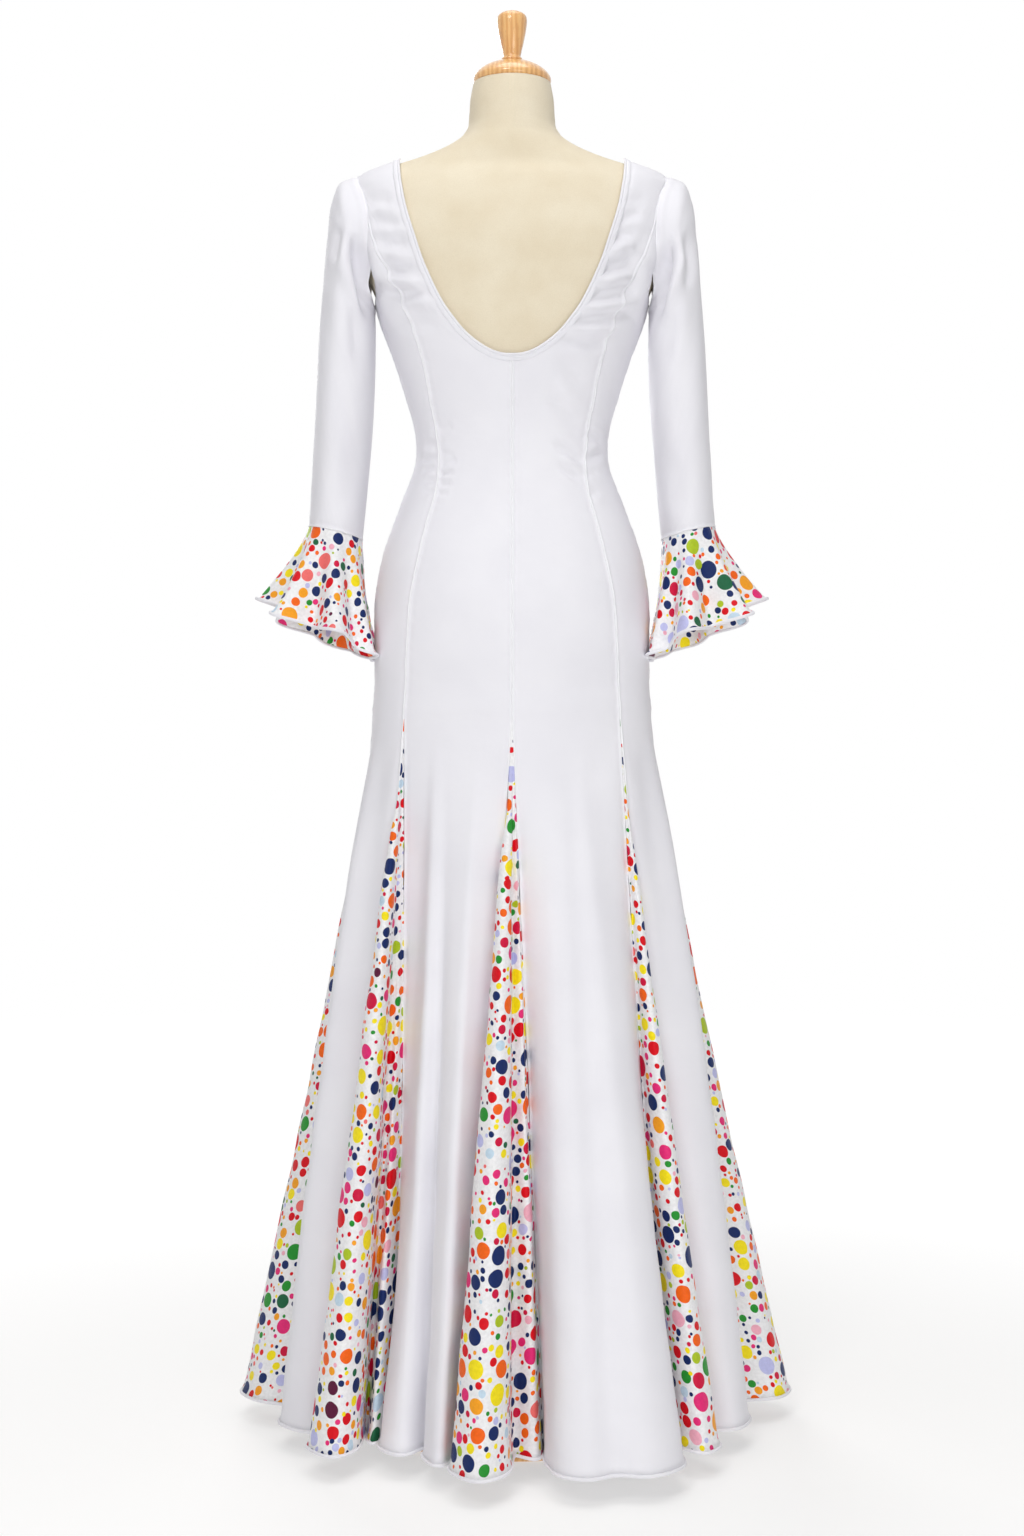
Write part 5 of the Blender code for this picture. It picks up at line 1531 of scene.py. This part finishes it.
def build_room():
    """A pale floor, partly glowing, that meets a glowing cove closed overhead."""
    floor = turned_sheet("floor", [(r, 0.0) for r in np.linspace(0.0002, FLOOR_RADIUS, 30)])
    corner = [(FLOOR_RADIUS + (WALL_RADIUS - FLOOR_RADIUS) * math.sin(t),
               (WALL_RADIUS - FLOOR_RADIUS) * (1 - math.cos(t)))
              for t in np.linspace(0, math.pi / 2, 24)]
    roof = [(WALL_RADIUS * math.cos(t), 2.5 + (WALL_TOP - 2.5) * math.sin(t))
            for t in np.linspace(0.05, math.pi / 2, 24)]
    backdrop = turned_sheet("backdrop", corner + roof)
    shader = Shader("pale_floor")
    place = shader.add("TexCoord").outputs["Object"]
    away = shader.add("VectorMath", operation="LENGTH")
    shader.put(away.inputs[0], place)
    glow = shader.smooth(away.outputs["Value"], *BARE_FLOOR, FLOOR_GLOW, 1.0)
    white_glow = shader.add("Emission", {"Color": (1.0, 1.0, 1.0, 1.0),
                                         "Strength": FLOOR_WHITE}).outputs[0]
    shader.finish(Base_Color=(1.0, 0.99, 0.975, 1.0), Roughness=0.9,
                  Specular_IOR_Level=0.0)
    mixed = shader.add("MixShader")
    shader.put(mixed.inputs[0], glow)
    shader.put(mixed.inputs[1], shader.surface.outputs[0])
    shader.put(mixed.inputs[2], white_glow)
    end = shader.tree.nodes["Material Output"]
    shader.put(end.inputs["Surface"], mixed.outputs[0])
    floor.data.materials.append(shader.material)
    shader = Shader("pale_backdrop")
    shader.finish(Base_Color=(0.0, 0.0, 0.0, 1.0), Specular_IOR_Level=0.0,
                  Emission_Color=(1.0, 1.0, 1.0, 1.0), Emission_Strength=BACKDROP)
    backdrop.data.materials.append(shader.material)
    backdrop.visible_diffuse = False


# The lamps: where each stands, where it points, how wide it is and its watts.
Lamp = namedtuple("Lamp", "name place target size power")
LAMPS = (
    Lamp("key", (0.9, 3.0, 2.9), (0, 0, 0.6), 1.2, 34),
    Lamp("fill", (-1.0, 3.2, 0.5), (0, 0, 0.2), 1.8, 28),
    Lamp("top", (0, 0.8, 4.4), (0, 0, 0), 3.4, 76),
    Lamp("front_fill", (0.8, -3.4, 1.9), (0, 0, 0.8), 2.2, 62),
)


def add_light(lamp):
    data = bpy.data.lights.new(lamp.name, "AREA")
    data.shape = "DISK"
    data.size = lamp.size
    data.energy = lamp.power
    light = bpy.data.objects.new(lamp.name, data)
    bpy.context.scene.collection.objects.link(light)
    light.location = lamp.place
    beam = Vector(lamp.target) - Vector(lamp.place)
    light.rotation_euler = beam.to_track_quat("-Z", "Y").to_euler()
    light.visible_camera = False


def build_studio():
    build_room()
    for lamp in LAMPS:
        add_light(lamp)
    data = bpy.data.cameras.new("camera")
    data.lens = CAMERA_LENS
    data.sensor_width = 36
    data.clip_end = 60
    camera = bpy.data.objects.new("camera", data)
    camera.location = (0, CAMERA_DISTANCE, CAMERA_HEIGHT)
    camera.rotation_euler = (math.pi / 2, 0, math.pi)
    scene = bpy.context.scene
    scene.collection.objects.link(camera)
    scene.camera = camera
    world = bpy.data.worlds.new("world")
    world.use_nodes = True
    world.node_tree.nodes["Background"].inputs["Strength"].default_value = AMBIENT
    world.node_tree.nodes["Background"].inputs["Color"].default_value = (1.0, 1.0, 1.0, 1.0)
    scene.world = world
    scene.view_settings.view_transform = "Standard"


white, dotted = white_satin(), dotted_satin()
torso = build_torso(linen())
build_dress(white, dotted)
build_stand(beech(), steel())
build_studio()
